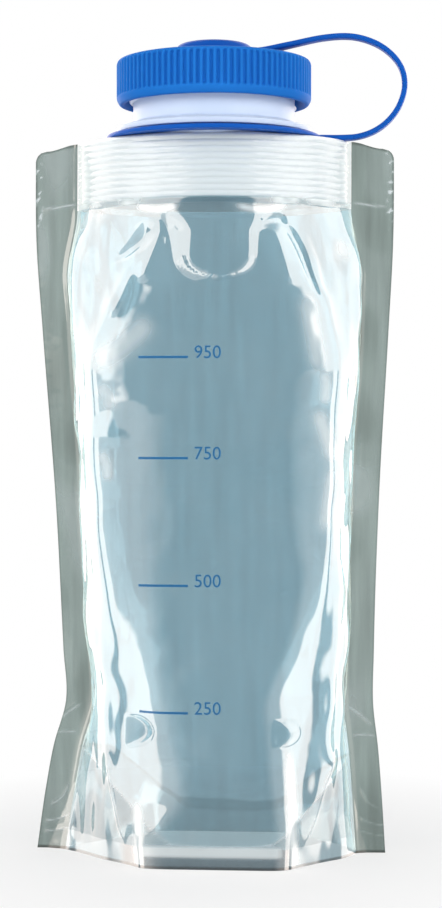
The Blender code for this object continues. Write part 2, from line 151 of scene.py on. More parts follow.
@dataclass(frozen=True)
class Ripple:
    """A fine irregular relief: a sum of sine waves of random direction, length and phase.

    Each wave is sin(2π(x cos a + z sin a)/L + p). The lengths L are spread evenly on a log scale between
    the shortest and the longest, and each wave's height is in proportion to its length. The stretch
    lengthens them upward, and the gain makes up for the waves that cancel each other.
    """

    seed: int
    shortest: float
    longest: float
    height: float
    waves: int = 28
    stretch: float = 1.0
    gain: float = 2.5

    def seeded(self, offset: int) -> "Ripple":
        """The same kind of relief with other waves, from a seed that is moved on by the offset."""
        return replace(self, seed=self.seed + offset)

    def read(self, x: np.ndarray, z: np.ndarray) -> np.ndarray:
        """Height of the relief at each place.

        Args:
            x: Distance across the film, in metres.
            z: Height above the ground, in metres.

        Returns:
            Outward displacement in metres, about self.height at its strongest.
        """
        rng = np.random.default_rng(self.seed)
        lengths = np.exp(rng.uniform(math.log(self.shortest), math.log(self.longest), self.waves))
        turns = rng.uniform(0, math.pi, self.waves)
        phases = rng.uniform(0, 2 * math.pi, self.waves)
        flat_x, flat_z = x.ravel()[:, None], z.ravel()[:, None] / self.stretch
        angle = 2 * math.pi * (flat_x * np.cos(turns) + flat_z * np.sin(turns)) / lengths + phases
        weights = lengths / lengths.sum()
        return (np.sin(angle) @ weights).reshape(x.shape) * self.height * self.gain


@dataclass(frozen=True)
class Fold:
    """A ridge or a valley pressed into a film along a path.

    Its relief is height * exp(-(d / width)²) at a distance d from the path, and eases to nothing over
    a share of the path at both ends. A sharp fold has exp(-|d| / width) instead, as a creased film has.
    Along a narrower line it adds milkiness, up to 1, which on some folds paints a pale reflection; below 0
    it takes milkiness away and paints shade, darkening the light that comes through. Lengths are in
    millimetres.
    """

    path: tuple[tuple[float, float], ...]
    height: float
    width: float
    sharp: bool = False
    milk_and_painted_light: float = 0.0
    # Share of the path that eases at each end, and the width of the line of milk and painted light as a share
    # of the fold's
    ease: float = 0.25
    line_share: float = 0.45

    def read(self, x: np.ndarray, z: np.ndarray) -> tuple[np.ndarray, np.ndarray]:
        """Relief, and the milkiness and painted light along the fold, at each place.

        Args:
            x: Distance from the neck's axis, in metres.
            z: Height above the ground, in metres.

        Returns:
            Outward displacement in metres, and the milkiness that the fold adds, with its painted light and
            shade.
        """
        knots = np.arange(len(self.path), dtype=float)
        points = np.array(self.path) * MM
        at = np.linspace(0, len(self.path) - 1, 6 * len(self.path))
        course = np.stack([smooth_curve(at, knots, points[:, i]) for i in (0, 1)], 1)
        starts, ends = course[:-1], course[1:]
        along = ends - starts
        lengths = np.linalg.norm(along, axis=1)
        near = np.full(x.shape, 1e9)
        travelled = np.zeros(x.shape)
        done = 0.0
        for start, step, length in zip(starts, along, lengths):
            offset_x, offset_z = x - start[0], z - start[1]
            t = np.clip((offset_x * step[0] + offset_z * step[1]) / length ** 2, 0.0, 1.0)
            distance = np.hypot(offset_x - t * step[0], offset_z - t * step[1])
            closer = distance < near
            near = np.where(closer, distance, near)
            travelled = np.where(closer, done + t * length, travelled)
            done += length
        place = travelled / done
        taper = smooth_step(place / self.ease) * smooth_step((1 - place) / self.ease)
        width = self.width * MM
        profile = np.exp(-near / width) if self.sharp else np.exp(-((near / width) ** 2))
        line = np.exp(-((near / (self.line_share * width)) ** 2))
        return self.height * MM * profile * taper, self.milk_and_painted_light * line * taper

    def toward(self, sign: int) -> "Fold":
        """The same fold on the left (sign -1) or the right (sign 1) of the neck's axis."""
        return replace(self, path=tuple((sign * x, z) for x, z in self.path))


def surface(
    name: str,
    grid: np.ndarray,
    wrap: bool = False,
    values: dict[str, np.ndarray] | None = None,
    material_rows: np.ndarray | None = None,
    close: bool = False,
) -> bpy.types.Object:
    """Makes a mesh object from a grid of points.

    A first or last row whose points all meet becomes one vertex, a pole.

    Args:
        name: Name of the new object.
        grid: Points in metres, as rows × columns × 3. Faces look out where rows run up and columns
            run anticlockwise as seen from outside.
        wrap: Whether each row's last point joins its first.
        values: Numbers for each point, as rows × columns, stored as attributes under their names.
        material_rows: Material number of each face, as face rows × face columns.
        close: Whether the last row is the first one again.

    Returns:
        The new object, shaded smooth and linked to the scene.
    """
    rows, columns = grid.shape[:2]
    ids = np.arange(rows * columns).reshape(rows, columns)
    if close:
        ids[-1] = ids[0]
    for row in (0, rows - 1):
        if np.ptp(grid[row], axis=0).max() < 1e-9:
            ids[row] = ids[row, 0]
    used, packed = np.unique(ids, return_inverse=True)
    ids = packed.reshape(rows, columns)
    if wrap:
        ids = np.concatenate([ids, ids[:, :1]], axis=1)
    corners = np.stack([ids[:-1, :-1], ids[:-1, 1:], ids[1:, 1:], ids[1:, :-1]], -1).reshape(-1, 4)
    kept = [list(dict.fromkeys(face)) for face in corners.tolist()]
    mesh = bpy.data.meshes.new(name)
    mesh.from_pydata(grid.reshape(-1, 3)[used].tolist(), [], kept)
    for key, value in (values or {}).items():
        attribute = mesh.attributes.new(key, "FLOAT", "POINT")
        attribute.data.foreach_set("value", value.reshape(-1)[used].astype(np.float32))
    if material_rows is not None:
        mesh.polygons.foreach_set("material_index", material_rows.reshape(-1).astype(np.int32))
    mesh.shade_smooth()
    obj = bpy.data.objects.new(name, mesh)
    bpy.context.scene.collection.objects.link(obj)
    return obj


def grid_normals(grid: np.ndarray) -> np.ndarray:
    """Unit normals of a grid of points: the cross product of its steps along columns and rows.

    Args:
        grid: Points as rows × columns × 3.

    Returns:
        Normals in the same form.
    """
    across = np.gradient(grid, axis=1)
    up = np.gradient(grid, axis=0)
    normal = np.cross(across, up)
    return normal / np.maximum(np.linalg.norm(normal, axis=2, keepdims=True), 1e-12)


def shell(
    name: str, outer: np.ndarray, inner: np.ndarray, values: dict[str, np.ndarray], finish_rows: np.ndarray
) -> bpy.types.Object:
    """Closes the outer and the inner face of a film into one thin body.

    Args:
        name: Name of the new object.
        outer: Points of the outer face, as rows × columns × 3.
        inner: Points of the inner face, each behind its outer one.
        values: Numbers for each outer point, stored as attributes on both faces.
        finish_rows: Material number of each face, with one row more than the points and twice the columns.

    Returns:
        The new object, shaded smooth but for its sharp edges.
    """
    ring = np.concatenate([outer, inner[:, ::-1]], axis=1)
    middle = (outer + inner) / 2
    rim = np.concatenate([middle, middle[:, ::-1]], axis=1)
    grid = np.concatenate([rim[:1], ring, rim[-1:]], axis=0)
    doubled = {}
    for key, value in values.items():
        both = np.concatenate([value, value[:, ::-1]], axis=1)
        doubled[key] = np.concatenate([both[:1], both, both[-1:]], axis=0)
    piece = surface(name, grid, wrap=True, values=doubled, material_rows=finish_rows)
    piece.data.set_sharp_from_angle(angle=SHARP_ANGLE)
    return piece


def film_shell(
    name: str, outer: np.ndarray, thickness: float, values: dict[str, np.ndarray]
) -> bpy.types.Object:
    """Makes a thin film from its outer face alone.

    The inner face is the outer one moved inward along its normals by the thickness. The outer face takes
    the first material, and the inner face and the cut edges take the second.

    Args:
        name: Name of the new object.
        outer: Outer points, as rows × columns × 3.
        thickness: Film thickness in metres.
        values: Numbers for each outer point, stored as attributes.

    Returns:
        The new object.
    """
    rows, columns = outer.shape[:2]
    finish = np.ones((rows + 1, 2 * columns), int)
    finish[1:-1, :columns - 1] = 0
    return shell(name, outer, outer - grid_normals(outer) * thickness, values, finish)


def read_rows(at: np.ndarray, row: np.ndarray, across: np.ndarray, values: np.ndarray) -> np.ndarray:
    """Reads a table of values at a place in one of its rows.

    Each row is moved a metre on from the one before, so that one sorted line holds them all.

    Args:
        at: Places in metres, less than half a metre from 0.
        row: The row of each place.
        across: Places of the values, as rows × columns.
        values: The values there.

    Returns:
        The values at the places.
    """
    keys = (np.sort(across, axis=1) + np.arange(len(across))[:, None]).ravel()
    return np.interp(at + row, keys, values.ravel())


def new_material(name: str, empty: bool) -> tuple[bpy.types.Material, bpy.types.NodeTree]:
    """Makes a material that is drawn by nodes.

    Args:
        name: Its name.
        empty: Whether it starts without any node.

    Returns:
        The material and its node tree.
    """
    material = bpy.data.materials.new(name)
    material.use_nodes = True
    if empty:
        material.node_tree.nodes.clear()
    return material, material.node_tree


def dress(piece: bpy.types.Object, slot: str, node: str, *finishes: bpy.types.Material) -> None:
    """Gives a piece its finishes, hides the CAD part that it replaces, and logs its faces.

    Args:
        piece: The new piece.
        slot: Not used.
        node: CAD node that the piece replaces.
        finishes: Materials, in the order of the piece's material numbers.
    """
    for finish in finishes:
        piece.data.materials.append(finish)
    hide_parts(node)
    LOG.info("%s: %d faces", piece.name, len(piece.data.polygons))


@dataclass(frozen=True)
class Film:
    """Clear laminate of polyester and polyethylene, cast and rolled flat.

    It lets most light through with a cool tint, mirrors sharply, and turns milky along its creases. It
    reads two attributes of its piece: weld, from 0 on one layer to 1 on welded layers, and crease, from
    -1 where shade is painted, as on the cut edge it stands on, to 1 in a milky fold, whose milk in places
    paints a pale reflection.
    """

    name: str
    tint: str
    weld_tint: str
    haze: float
    streak: float = 0.0
    haze_colour: str = "#D3DDE0"
    haze_roughness: float = 0.4
    # Share by which the haze differs between its clouds
    haze_spread: float = 0.4
    shadow: str = "#F6F9FA"
    roughness: float = 0.045
    # Share of light mirrored face on by one layer and by welded layers, and what grazing light adds
    mirror: float = 0.13
    weld_mirror: float = 0.09
    grazing: float = 0.85
    grazing_power: float = 5.0
    # Share of the tint that is left under the most painted shade, as on the cut edge the bottle stands on
    darkest: float = 0.35
    # Distance and length of the streaks that rolling leaves, and the size of the haze's clouds
    streak_size: tuple[float, float, float] = (3.846 * MM, 3.846 * MM, 45.45 * MM)
    cloud_size: float = 22.22 * MM

    def passed_light(
        self, tree: bpy.types.NodeTree, place: bpy.types.NodeSocket,
        weld: bpy.types.NodeSocket, crease: bpy.types.NodeSocket,
    ) -> bpy.types.NodeSocket:
        """Adds nodes for the colour of light that comes through.

        Args:
            tree: The material's node tree.
            place: Object coordinates.
            weld: The weld attribute.
            crease: The crease attribute.

        Returns:
            The colour's socket: streaked tint, darkened by painted shade where the crease attribute is below
            0, to the eye, and nearly white to shadows.
        """
        tint = add_node(
            tree, "Mix", {"Factor": weld, 6: linear(self.tint), 7: linear(self.weld_tint)}, data_type="RGBA"
        ).outputs[2]
        cells = [1 / size for size in self.streak_size]
        drawn = add_node(tree, "Mapping", {"Vector": place, "Scale": cells})
        bands = add_node(tree, "TexNoise", {"Vector": drawn.outputs[0], "Scale": 1.0, "Detail": 3.0})
        limits = {**NOISE_RANGE, 3: 1 - self.streak, 4: 1 + self.streak}
        shade = add_node(tree, "MapRange", {"Value": bands.outputs["Fac"], **limits})
        # Painted shade: below 0 the crease attribute darkens the tint, down to the darkest share
        deep = add_node(tree, "MapRange", {"Value": crease, 1: -1.0, 2: 0.0, 3: self.darkest, 4: 1.0})
        depth = add_node(tree, "Math", {0: shade.outputs[0], 1: deep.outputs[0]}, operation="MULTIPLY")
        streaked = add_node(tree, "VectorMath", {0: tint, 3: depth.outputs[0]}, operation="SCALE")
        ray = add_node(tree, "LightPath").outputs["Is Shadow Ray"]
        return add_node(
            tree, "Mix", {"Factor": ray, 6: streaked.outputs[0], 7: linear(self.shadow)}, data_type="RGBA"
        ).outputs[2]

    def milkiness(
        self, tree: bpy.types.NodeTree, place: bpy.types.NodeSocket, crease: bpy.types.NodeSocket
    ) -> bpy.types.NodeSocket:
        """Adds nodes for the milky share: a cloudy haze, and more of it along creases and where the crease
        attribute paints pale reflections.

        Args:
            tree: The material's node tree.
            place: Object coordinates.
            crease: The crease attribute.

        Returns:
            The share's socket.
        """
        cloud = add_node(tree, "TexNoise", {"Vector": place, "Scale": 1 / self.cloud_size, "Detail": 4.0})
        least, most = self.haze * (1 - self.haze_spread), self.haze * (1 + self.haze_spread)
        limits = {**NOISE_RANGE, 3: least, 4: most}
        amount = add_node(tree, "MapRange", {"Value": cloud.outputs["Fac"], **limits})
        milk = add_node(tree, "Math", {0: crease, 1: amount.outputs[0]}, operation="ADD", use_clamp=True)
        return milk.outputs[0]

    def mirroring(self, tree: bpy.types.NodeTree, weld: bpy.types.NodeSocket) -> bpy.types.NodeSocket:
        """Adds nodes for the mirrored share: a small one face on, and grazing * facing⁵ more.

        Args:
            tree: The material's node tree.
            weld: The weld attribute.

        Returns:
            The share's socket.
        """
        facing = add_node(tree, "LayerWeight", {"Blend": 0.5}).outputs["Facing"]
        steep = add_node(tree, "Math", {0: facing, 1: self.grazing_power}, operation="POWER").outputs[0]
        face_on = add_node(tree, "MapRange", {"Value": weld, 3: self.mirror, 4: self.weld_mirror}).outputs[0]
        return add_node(
            tree, "Math", {0: steep, 1: self.grazing, 2: face_on}, operation="MULTIPLY_ADD"
        ).outputs[0]

    def material(self) -> bpy.types.Material:
        """Builds the film's node tree.

        Returns:
            The material: a tinted clear body with haze, under a mirror.
        """
        material, tree = new_material(self.name, empty=True)
        place = add_node(tree, "TexCoord").outputs["Object"]
        weld = add_node(tree, "Attribute", attribute_name="weld").outputs["Fac"]
        crease = add_node(tree, "Attribute", attribute_name="crease").outputs["Fac"]
        clear = add_node(tree, "BsdfTransparent", {"Color": self.passed_light(tree, place, weld, crease)})
        cloudy = {"Base Color": linear(self.haze_colour), "Roughness": self.haze_roughness}
        scatter = add_node(tree, "BsdfPrincipled", cloudy)
        milk = self.milkiness(tree, place, crease)
        body = add_node(tree, "MixShader", {0: milk, 1: clear.outputs[0], 2: scatter.outputs[0]})
        gloss = add_node(tree, "BsdfGlossy", {"Color": (1, 1, 1, 1), "Roughness": self.roughness})
        mirror = self.mirroring(tree, weld)
        both = add_node(tree, "MixShader", {0: mirror, 1: body.outputs[0], 2: gloss.outputs[0]})
        add_node(tree, "OutputMaterial", {"Surface": both.outputs[0]})
        return material


@dataclass(frozen=True)
class InnerFace:
    """The inner face of a film, which adds nothing to what its outer face already shows."""

    name: str = "film_inner_face"

    def material(self) -> bpy.types.Material:
        """Builds the node tree of a face that lets all light through.

        Returns:
            The material.
        """
        material, tree = new_material(self.name, empty=True)
        clear = add_node(tree, "BsdfTransparent", {"Color": (1, 1, 1, 1)})
        add_node(tree, "OutputMaterial", {"Surface": clear.outputs[0]})
        return material


@dataclass(frozen=True)
class Moulding:
    """Injection moulded polyolefin: an even satin skin with a very fine grain.

    The grain is the mould's spark eroded texture, and the clouds between two near shades are what the
    pigment leaves.
    """

    name: str
    colour: str
    deep_colour: str
    roughness: float
    subsurface: float = 0.0
    gloss: float = 0.5
    # Size, depth and strength of the grain, and how far it changes the roughness. The real grain, about a
    # tenth of a millimetre, is too fine to show, so it is drawn nearly two pixels coarse.
    grain: float = 0.6 * MM
    grain_depth: float = 0.05 * MM
    grain_strength: float = 0.15
    spread: float = 0.05
    cloud_size: float = 25.0 * MM
    # How far light travels under the skin, and how strongly polyethylene and polypropylene refract it
    reach: float = 2.0 * MM
    refraction: float = 1.5

    def material(self) -> bpy.types.Material:
        """Builds the plastic's node tree.

        Returns:
            The material, clouded in its colour and finely grained.
        """
        material, tree = new_material(self.name, empty=False)
        shader = tree.nodes["Principled BSDF"]
        place = add_node(tree, "TexCoord").outputs["Object"]
        cloud = add_node(tree, "TexNoise", {"Vector": place, "Scale": 1 / self.cloud_size, "Detail": 3.0})
        shades = {"Factor": cloud.outputs["Fac"], 6: linear(self.deep_colour), 7: linear(self.colour)}
        tone = add_node(tree, "Mix", shades, data_type="RGBA")
        tree.links.new(tone.outputs[2], shader.inputs["Base Color"])
        fine = add_node(tree, "TexNoise", {"Vector": place, "Scale": 1 / self.grain, "Detail": 2.0})
        smoothest, roughest = self.roughness - self.spread, self.roughness + self.spread
        rough = add_node(tree, "MapRange", {"Value": fine.outputs["Fac"], 3: smoothest, 4: roughest})
        tree.links.new(rough.outputs[0], shader.inputs["Roughness"])
        skin = {
            "Height": fine.outputs["Fac"], "Strength": self.grain_strength, "Distance": self.grain_depth
        }
        tree.links.new(add_node(tree, "Bump", skin).outputs[0], shader.inputs["Normal"])
        shader.inputs["IOR"].default_value = self.refraction
        shader.inputs["Specular IOR Level"].default_value = self.gloss
        shader.inputs["Subsurface Weight"].default_value = self.subsurface
        shader.inputs["Subsurface Radius"].default_value = (1.0, 1.0, 1.0)
        shader.inputs["Subsurface Scale"].default_value = self.reach
        return material


@dataclass(frozen=True)
class Ink:
    """Flexographic ink on film: a thin flat coat with slightly broken cover."""

    name: str = "printing_ink"
    colour: str = "#145A8A"
    thin_colour: str = "#1B6799"
    roughness: float = 0.35
    # Size of the specks where the cover is thinner, drawn coarser than real ones so that they show
    speck_size: float = 1.1111 * MM

    def material(self) -> bpy.types.Material:
        """Builds the ink's node tree.

        Returns:
            The material, matt and a little uneven.
        """
        material, tree = new_material(self.name, empty=False)
        shader = tree.nodes["Principled BSDF"]
        place = add_node(tree, "TexCoord").outputs["Object"]
        cloud = add_node(tree, "TexNoise", {"Vector": place, "Scale": 1 / self.speck_size, "Detail": 2.0})
        shades = {"Factor": cloud.outputs["Fac"], 6: linear(self.colour), 7: linear(self.thin_colour)}
        tone = add_node(tree, "Mix", shades, data_type="RGBA")
        tree.links.new(tone.outputs[2], shader.inputs["Base Color"])
        shader.inputs["Roughness"].default_value = self.roughness
        return material


@dataclass
class Outline:
    """Side edges and seals of the pouch, as seen from the front. Lengths are in metres."""

    # Creases beside the floor's corners: X and height of the top, and of the foot
    left_crease: tuple[tuple[float, float], ...] = ((-43.1 * MM, 38.6 * MM), (-55.5 * MM, 8.6 * MM))
    right_crease: tuple[tuple[float, float], ...] = ((45.3 * MM, 38.5 * MM), (53.2 * MM, 2.0 * MM))
    crease_slope: float = 0.33
    seal_width: float = 10.3 * MM
    # How much wider the seals get beside the boat, from which height, and over what climb
    seal_flare: float = 4.5 * MM
    flare_foot: float = 200.0 * MM
    flare_climb: float = 25.0 * MM
    # Heights, and the X of both outer edges there, in millimetres
    levels: tuple[float, ...] = (0, 22, 37, 52, 71, 127, 183, 212, 250)
    left: tuple[float, ...] = (-62.8, -59.6, -56.8, -52.6, -53.4, -56.3, -60.6, -62.6, -62.8)
    right: tuple[float, ...] = (60.2, 58.8, 57.6, 55.9, 56.1, 57.9, 61.0, 62.5, 62.8)

    def outer(self, z: np.ndarray, sign: int) -> np.ndarray:
        """X of the left (sign -1) or right (sign 1) outer edge at each height."""
        edge = self.left if sign < 0 else self.right
        return smooth_curve(z, np.array(self.levels) * MM, np.array(edge) * MM)

    def inner(self, z: np.ndarray, sign: int) -> np.ndarray:
        """X of the inner edge of the left or right side seal at each height."""
        flare = smooth_step((z - self.flare_foot) / self.flare_climb)
        return self.outer(z, sign) - sign * (self.seal_width + self.seal_flare * flare)

    def corner_bulge(self, x: np.ndarray, z: np.ndarray, sign: int) -> np.ndarray:
        """How far each layer of a side seal leaves the middle plane at the pouch's foot.

        Below a crease that runs down and outward from the floor's top corner, it is the distance from
        the crease times the slope.

        Args:
            x: Distances from the neck's axis.
            z: Heights in metres.
            sign: -1 for the left seal and 1 for the right one.

        Returns:
            Distances in metres.
        """
        top, foot = self.left_crease if sign < 0 else self.right_crease
        run, fall = foot[0] - top[0], foot[1] - top[1]
        length = math.hypot(run, fall)
        inward = -sign * ((x - top[0]) * -fall + (z - top[1]) * run) / length
        return self.crease_slope * np.maximum(inward, 0)


# Ridges of the wall's form from left to right: at each level in millimetres, X and the depth
RIDGE_LEVELS = (0, 10, 24, 40, 56, 75, 95, 115, 150, 180, 195, 210, 225)
RIDGES = (
    ((-46.6, 7.6), (-45.5, 8), (-45, 7), (-44, 6), (-43, 6), (-45.2, 7), (-46.2, 8), (-46.8, 8.5), (-48, 9),
     (-49.8, 9), (-50.2, 9), (-48.5, 8.5), (-44, 6.9)),
    ((-38, 16.8), (-37.5, 16.8), (-36.5, 19.6), (-36, 19.4), (-36, 20), (-37.5, 21), (-38.5, 22.5),
     (-40, 23.5), (-41.2, 24.5), (-40, 24), (-35, 23.5), (-31.5, 22), (-32, 19.4)),
    ((-27, 25.8), (-28, 25.6), (-29.5, 25), (-29.5, 24.3), (-30, 25), (-31.5, 26.8), (-34.5, 28.6),
     (-37, 28.6), (-38.2, 28.4), (-37, 27.8), (-29.5, 27.8), (-26, 25), (-24, 24.3)),
    ((-21.8, 31.7), (-21.8, 31.7), (-11.5, 31.8), (-15.5, 31.3), (-17.5, 31.7), (-20, 31.6), (-19.5, 31.6),
     (-17, 31.6), (-17, 31.5), (-17.5, 30.8), (-16, 30), (-15, 29), (-14, 28.1)),
    ((2, 31.7), (2, 31.8), (4, 32), (3, 32), (2, 32), (3, 32), (4, 31.8), (3, 31.7), (3, 31.5), (3, 31),
     (3, 30.7), (2, 30.3), (0, 30)),
    ((26, 31.7), (26, 31.7), (24, 31.6), (22.5, 31.8), (21.5, 31.8), (28.5, 31.6), (31, 31.4), (29, 31.3),
     (28, 31.3), (30, 30.7), (27, 29.8), (20, 29), (14, 28.1)),
    ((31.5, 25), (32, 25.2), (32, 26.2), (33, 25.5), (34.5, 24), (36.5, 27.2), (40, 28.4), (41.8, 28),
     (42.6, 27.6), (43, 27.1), (38.5, 26.4), (29.5, 25.5), (25, 23.8)),
    ((39.5, 16.3), (39.5, 16.8), (39.5, 18.2), (40.3, 17.8), (42.3, 16.2), (43.8, 19.8), (44, 23),
     (44.2, 22.5), (45.4, 22), (46, 20.8), (42.5, 20.5), (37, 19.8), (34, 17.8)),
    ((46, 10.5), (46.5, 9.5), (46, 8.5), (45.5, 7.5), (46.3, 7.5), (48.1, 8), (48.3, 9), (48.6, 9.5),
     (50, 9.5), (52, 9.5), (52, 9), (50, 8), (44.5, 6.2)),
)


@dataclass(frozen=True)
class Leaf:
    """A small flat where the film leans more to its side, or less, than the film round it.

    Along each row the relief climbs at the lean's slope over w = W (1 - ((z - z0) / h)²)^ends, and then
    falls back evenly over the return's length. Lengths are in millimetres, and a negative width runs left.
    """

    start: tuple[float, float]
    width: float
    half_height: float
    lean: float
    back: float
    skew: float = 0.0
    ends: float = 1.0

    def read(self, x: np.ndarray, z: np.ndarray) -> tuple[np.ndarray, np.ndarray]:
        """Reads the leaf at each place, as a fold is read.

        Args:
            x: Distances from the neck's axis in metres.
            z: Heights in metres.

        Returns:
            Outward displacement in metres, and zeros, for a leaf isn't milky.
        """
        up = z - self.start[1] * MM
        share = np.maximum(1 - (up / (self.half_height * MM)) ** 2, 0)
        width = abs(self.width) * MM * share ** self.ends
        along = (x - self.start[0] * MM - self.skew * up) * math.copysign(1, self.width)
        climb = np.clip(along, 0, width)
        fall = np.clip((along - width) / (self.back * MM), 0, 1)
        return self.lean * (climb - width * fall), np.zeros(x.shape)


# Folds and leaves of the front wall, in millimetres from the neck's axis and above the ground. A fold has
# X and height along its path, then the height of its relief and its width. One without relief is a milky
# streak; on the flanks and under the boat these paint pale reflections and highlights, and below 0 they
# paint shade. The dark folds beside the tongue paint shade along their valleys.
FRONT_FOLDS = (
    # Painted shade along the valleys of the folds beside the tongue
    Fold(
        ((-18, 222), (-14.5, 218), (-12.5, 210), (-11.2, 204), (-7, 199.5), (0, 197.6)),
        -0.9, 1.7, milk_and_painted_light=-0.5,
    ),
    Fold(((17, 221), (20, 219), (27, 220)), -0.9, 2.4, milk_and_painted_light=-0.5),
    # Painted highlights of the crinkles under the boat, without relief
    Fold(((-26, 224.6), (-17, 223), (-8, 224.4)), 0, 2.6, milk_and_painted_light=0.8),
    Fold(((8, 224.4), (18, 222.6), (28, 224.8)), 0, 2.6, milk_and_painted_light=0.8),
    Fold(((-15, 217), (-19, 208), (-23, 197)), 1.0, 2.6),
    Fold(((-21, 219), (-27, 212), (-33, 205)), -0.5, 3.0),
    Fold(((-24, 205), (-30, 194), (-36, 186)), 1.0, 3.0),
    Fold(((-43.4, 224), (-43.2, 211), (-42.8, 197)), -0.3, 1.3),
    # Painted shade along these two valleys as well
    Fold(((24, 221), (30, 212), (35, 200), (39, 190)), -1.3, 1.5, milk_and_painted_light=-0.2),
    Fold(((33, 218), (38, 206), (41, 192)), -0.8, 1.6, milk_and_painted_light=-0.2),
    Fold(((21, 219), (24.5, 210), (28.5, 196)), 1.1, 2.2),
    Leaf((-28.5, 212), 4.5, 7, -0.34, 6, skew=0.9),
    Leaf((-28.3, 46.2), 6.2, 5.2, -0.45, 4, ends=0.6),
    Leaf((22.3, 46), 5, 4.6, 0.5, 4, ends=0.6),
    # Painted pale reflections of the flanks, without relief
    Fold(((-42, 172), (-33, 174), (-24, 181), (-18, 188)), 0, 9, milk_and_painted_light=0.5),
    Fold(((-38, 164), (-34, 160), (-33, 154)), 0, 6, milk_and_painted_light=0.4),
    Fold(((-37, 142), (-34.5, 137), (-34, 130)), 0, 4.5, milk_and_painted_light=0.45),
    Fold(((33, 197), (35, 184), (38.5, 165)), 0, 6.5, milk_and_painted_light=0.55),
    Fold(((39.6, 169), (40.0, 163), (39.6, 156)), 0, 4.5, milk_and_painted_light=0.6),
    Fold(((36.5, 157), (39.5, 148), (43, 136)), 0, 5.5, milk_and_painted_light=0.55),
    Fold(((42.5, 138), (40.5, 126), (39, 112)), 0, 4.5, milk_and_painted_light=0.45),
    # Painted streaks of shade low on the flanks, without relief
    Fold(((-40.5, 46), (-38.5, 22), (-36, -6)), 0, 6.5, milk_and_painted_light=-0.5),
    Fold(((35, 30), (38.5, 14), (41, -6)), 0, 5.5, milk_and_painted_light=-0.4),
    Fold(((-36, 40), (-33, 24), (-28, 4)), 1.0, 1.4, sharp=True, milk_and_painted_light=0.35),
    Fold(((44, 42), (39, 26), (32, 6)), 1.0, 1.4, sharp=True, milk_and_painted_light=0.35),
    Fold(((-24.5, 24), (-23.4, 8), (-23.2, -6)), 0, 3.6, milk_and_painted_light=0.9),
    Fold(((27.5, 44), (28.8, 16), (29.4, -12)), 0, 3.2, milk_and_painted_light=0.9),
)


# The line where the floor film is welded to the wall: X and height in millimetres
WELD_LINE = (
    (-52, 37), (-44, 35), (-36, 30), (-28.6, 22.6), (-20, 14), (-12.4, 8.2), (0, 7.6), (14, 7.6),
    (21.8, 8.6), (26.5, 11.5), (36, 22), (44, 31), (51, 37),
)


@dataclass(frozen=True)
class Tongue:
    """The tongue of film that the boat presses out below itself. Lengths are in metres."""

    middle: float = 3.9 * MM
    foot: float = 200.3 * MM
    half_width: float = 11.6 * MM
    # How much wider its shoulders are, from which height, and over what climb
    flare: float = 8.5 * MM
    flare_foot: float = 214.5 * MM
    flare_climb: float = 12.0 * MM
    # Height of the rounded foot, and the power of its superellipse
    round_height: float = 9.0 * MM
    roundness: float = 2.6
    # Half the straight run of the foot
    foot_run: float = 1.0 * MM
    height: float = 1.9 * MM
    # Width of the edge at the foot, what its left and right sides add above a height, and over what climb
    edge: float = 2.8 * MM
    left_edge: float = 2.2 * MM
    right_edge: float = 0.7 * MM
    widening_foot: float = 203.0 * MM
    widening_climb: float = 14.0 * MM
    # How far below the boat it begins to lie down
    fade: float = 12.0 * MM
    # Middle and radius of the taut film round it, which keeps a fifth of its other relief
    calm_x: float = 4.0 * MM
    calm_z: float = 212.0 * MM
    calm_radius: float = 11.0 * MM
    calming: float = 0.8
    # Distance, as a share of that radius, where the calming ends
    calm_end: float = 1.6

    def relief(self, x: np.ndarray, z: np.ndarray, top: float) -> np.ndarray:
        """Relief of the tongue alone.

        Inside a half ellipse with flaring shoulders the film stands out, and falls away over its edge.

        Args:
            x: Distances from the neck's axis.
            z: Heights.
            top: Height where the film is fixed.

        Returns:
            Outward displacements.
        """
        flare = smooth_step((z - self.flare_foot) / self.flare_climb)
        half = self.half_width + self.flare * flare
        rise = np.clip((z - self.foot) / self.round_height, 0, 1)
        round_foot = np.maximum(1 - (1 - rise) ** self.roundness, 0) ** (1 / self.roundness)
        aside = np.abs(x - self.middle)
        under = np.hypot(self.foot - z, np.maximum(aside - self.foot_run, 0))
        distance = np.where(z < self.foot, under, aside - half * round_foot)
        widening = smooth_step((z - self.widening_foot) / self.widening_climb)
        slope = self.edge + np.where(x < self.middle, self.left_edge, self.right_edge) * widening
        return self.height * smooth_step(0.5 - distance / slope) * smooth_step((top - z) / self.fade)

    def press(self, relief: np.ndarray, x: np.ndarray, z: np.ndarray, top: float) -> np.ndarray:
        """Calms the film round the tongue and adds the tongue.

        Args:
            relief: Outward displacements of the film without the tongue.
            x: Distances from the neck's axis.
            z: Heights.
            top: Height where the film is fixed.

        Returns:
            Outward displacements with the tongue.
        """
        away = np.hypot(x - self.calm_x, z - self.calm_z) / self.calm_radius
        near = smooth_step(self.calm_end - away)
        return relief * (1 - self.calming * near) + self.relief(x, z, top)


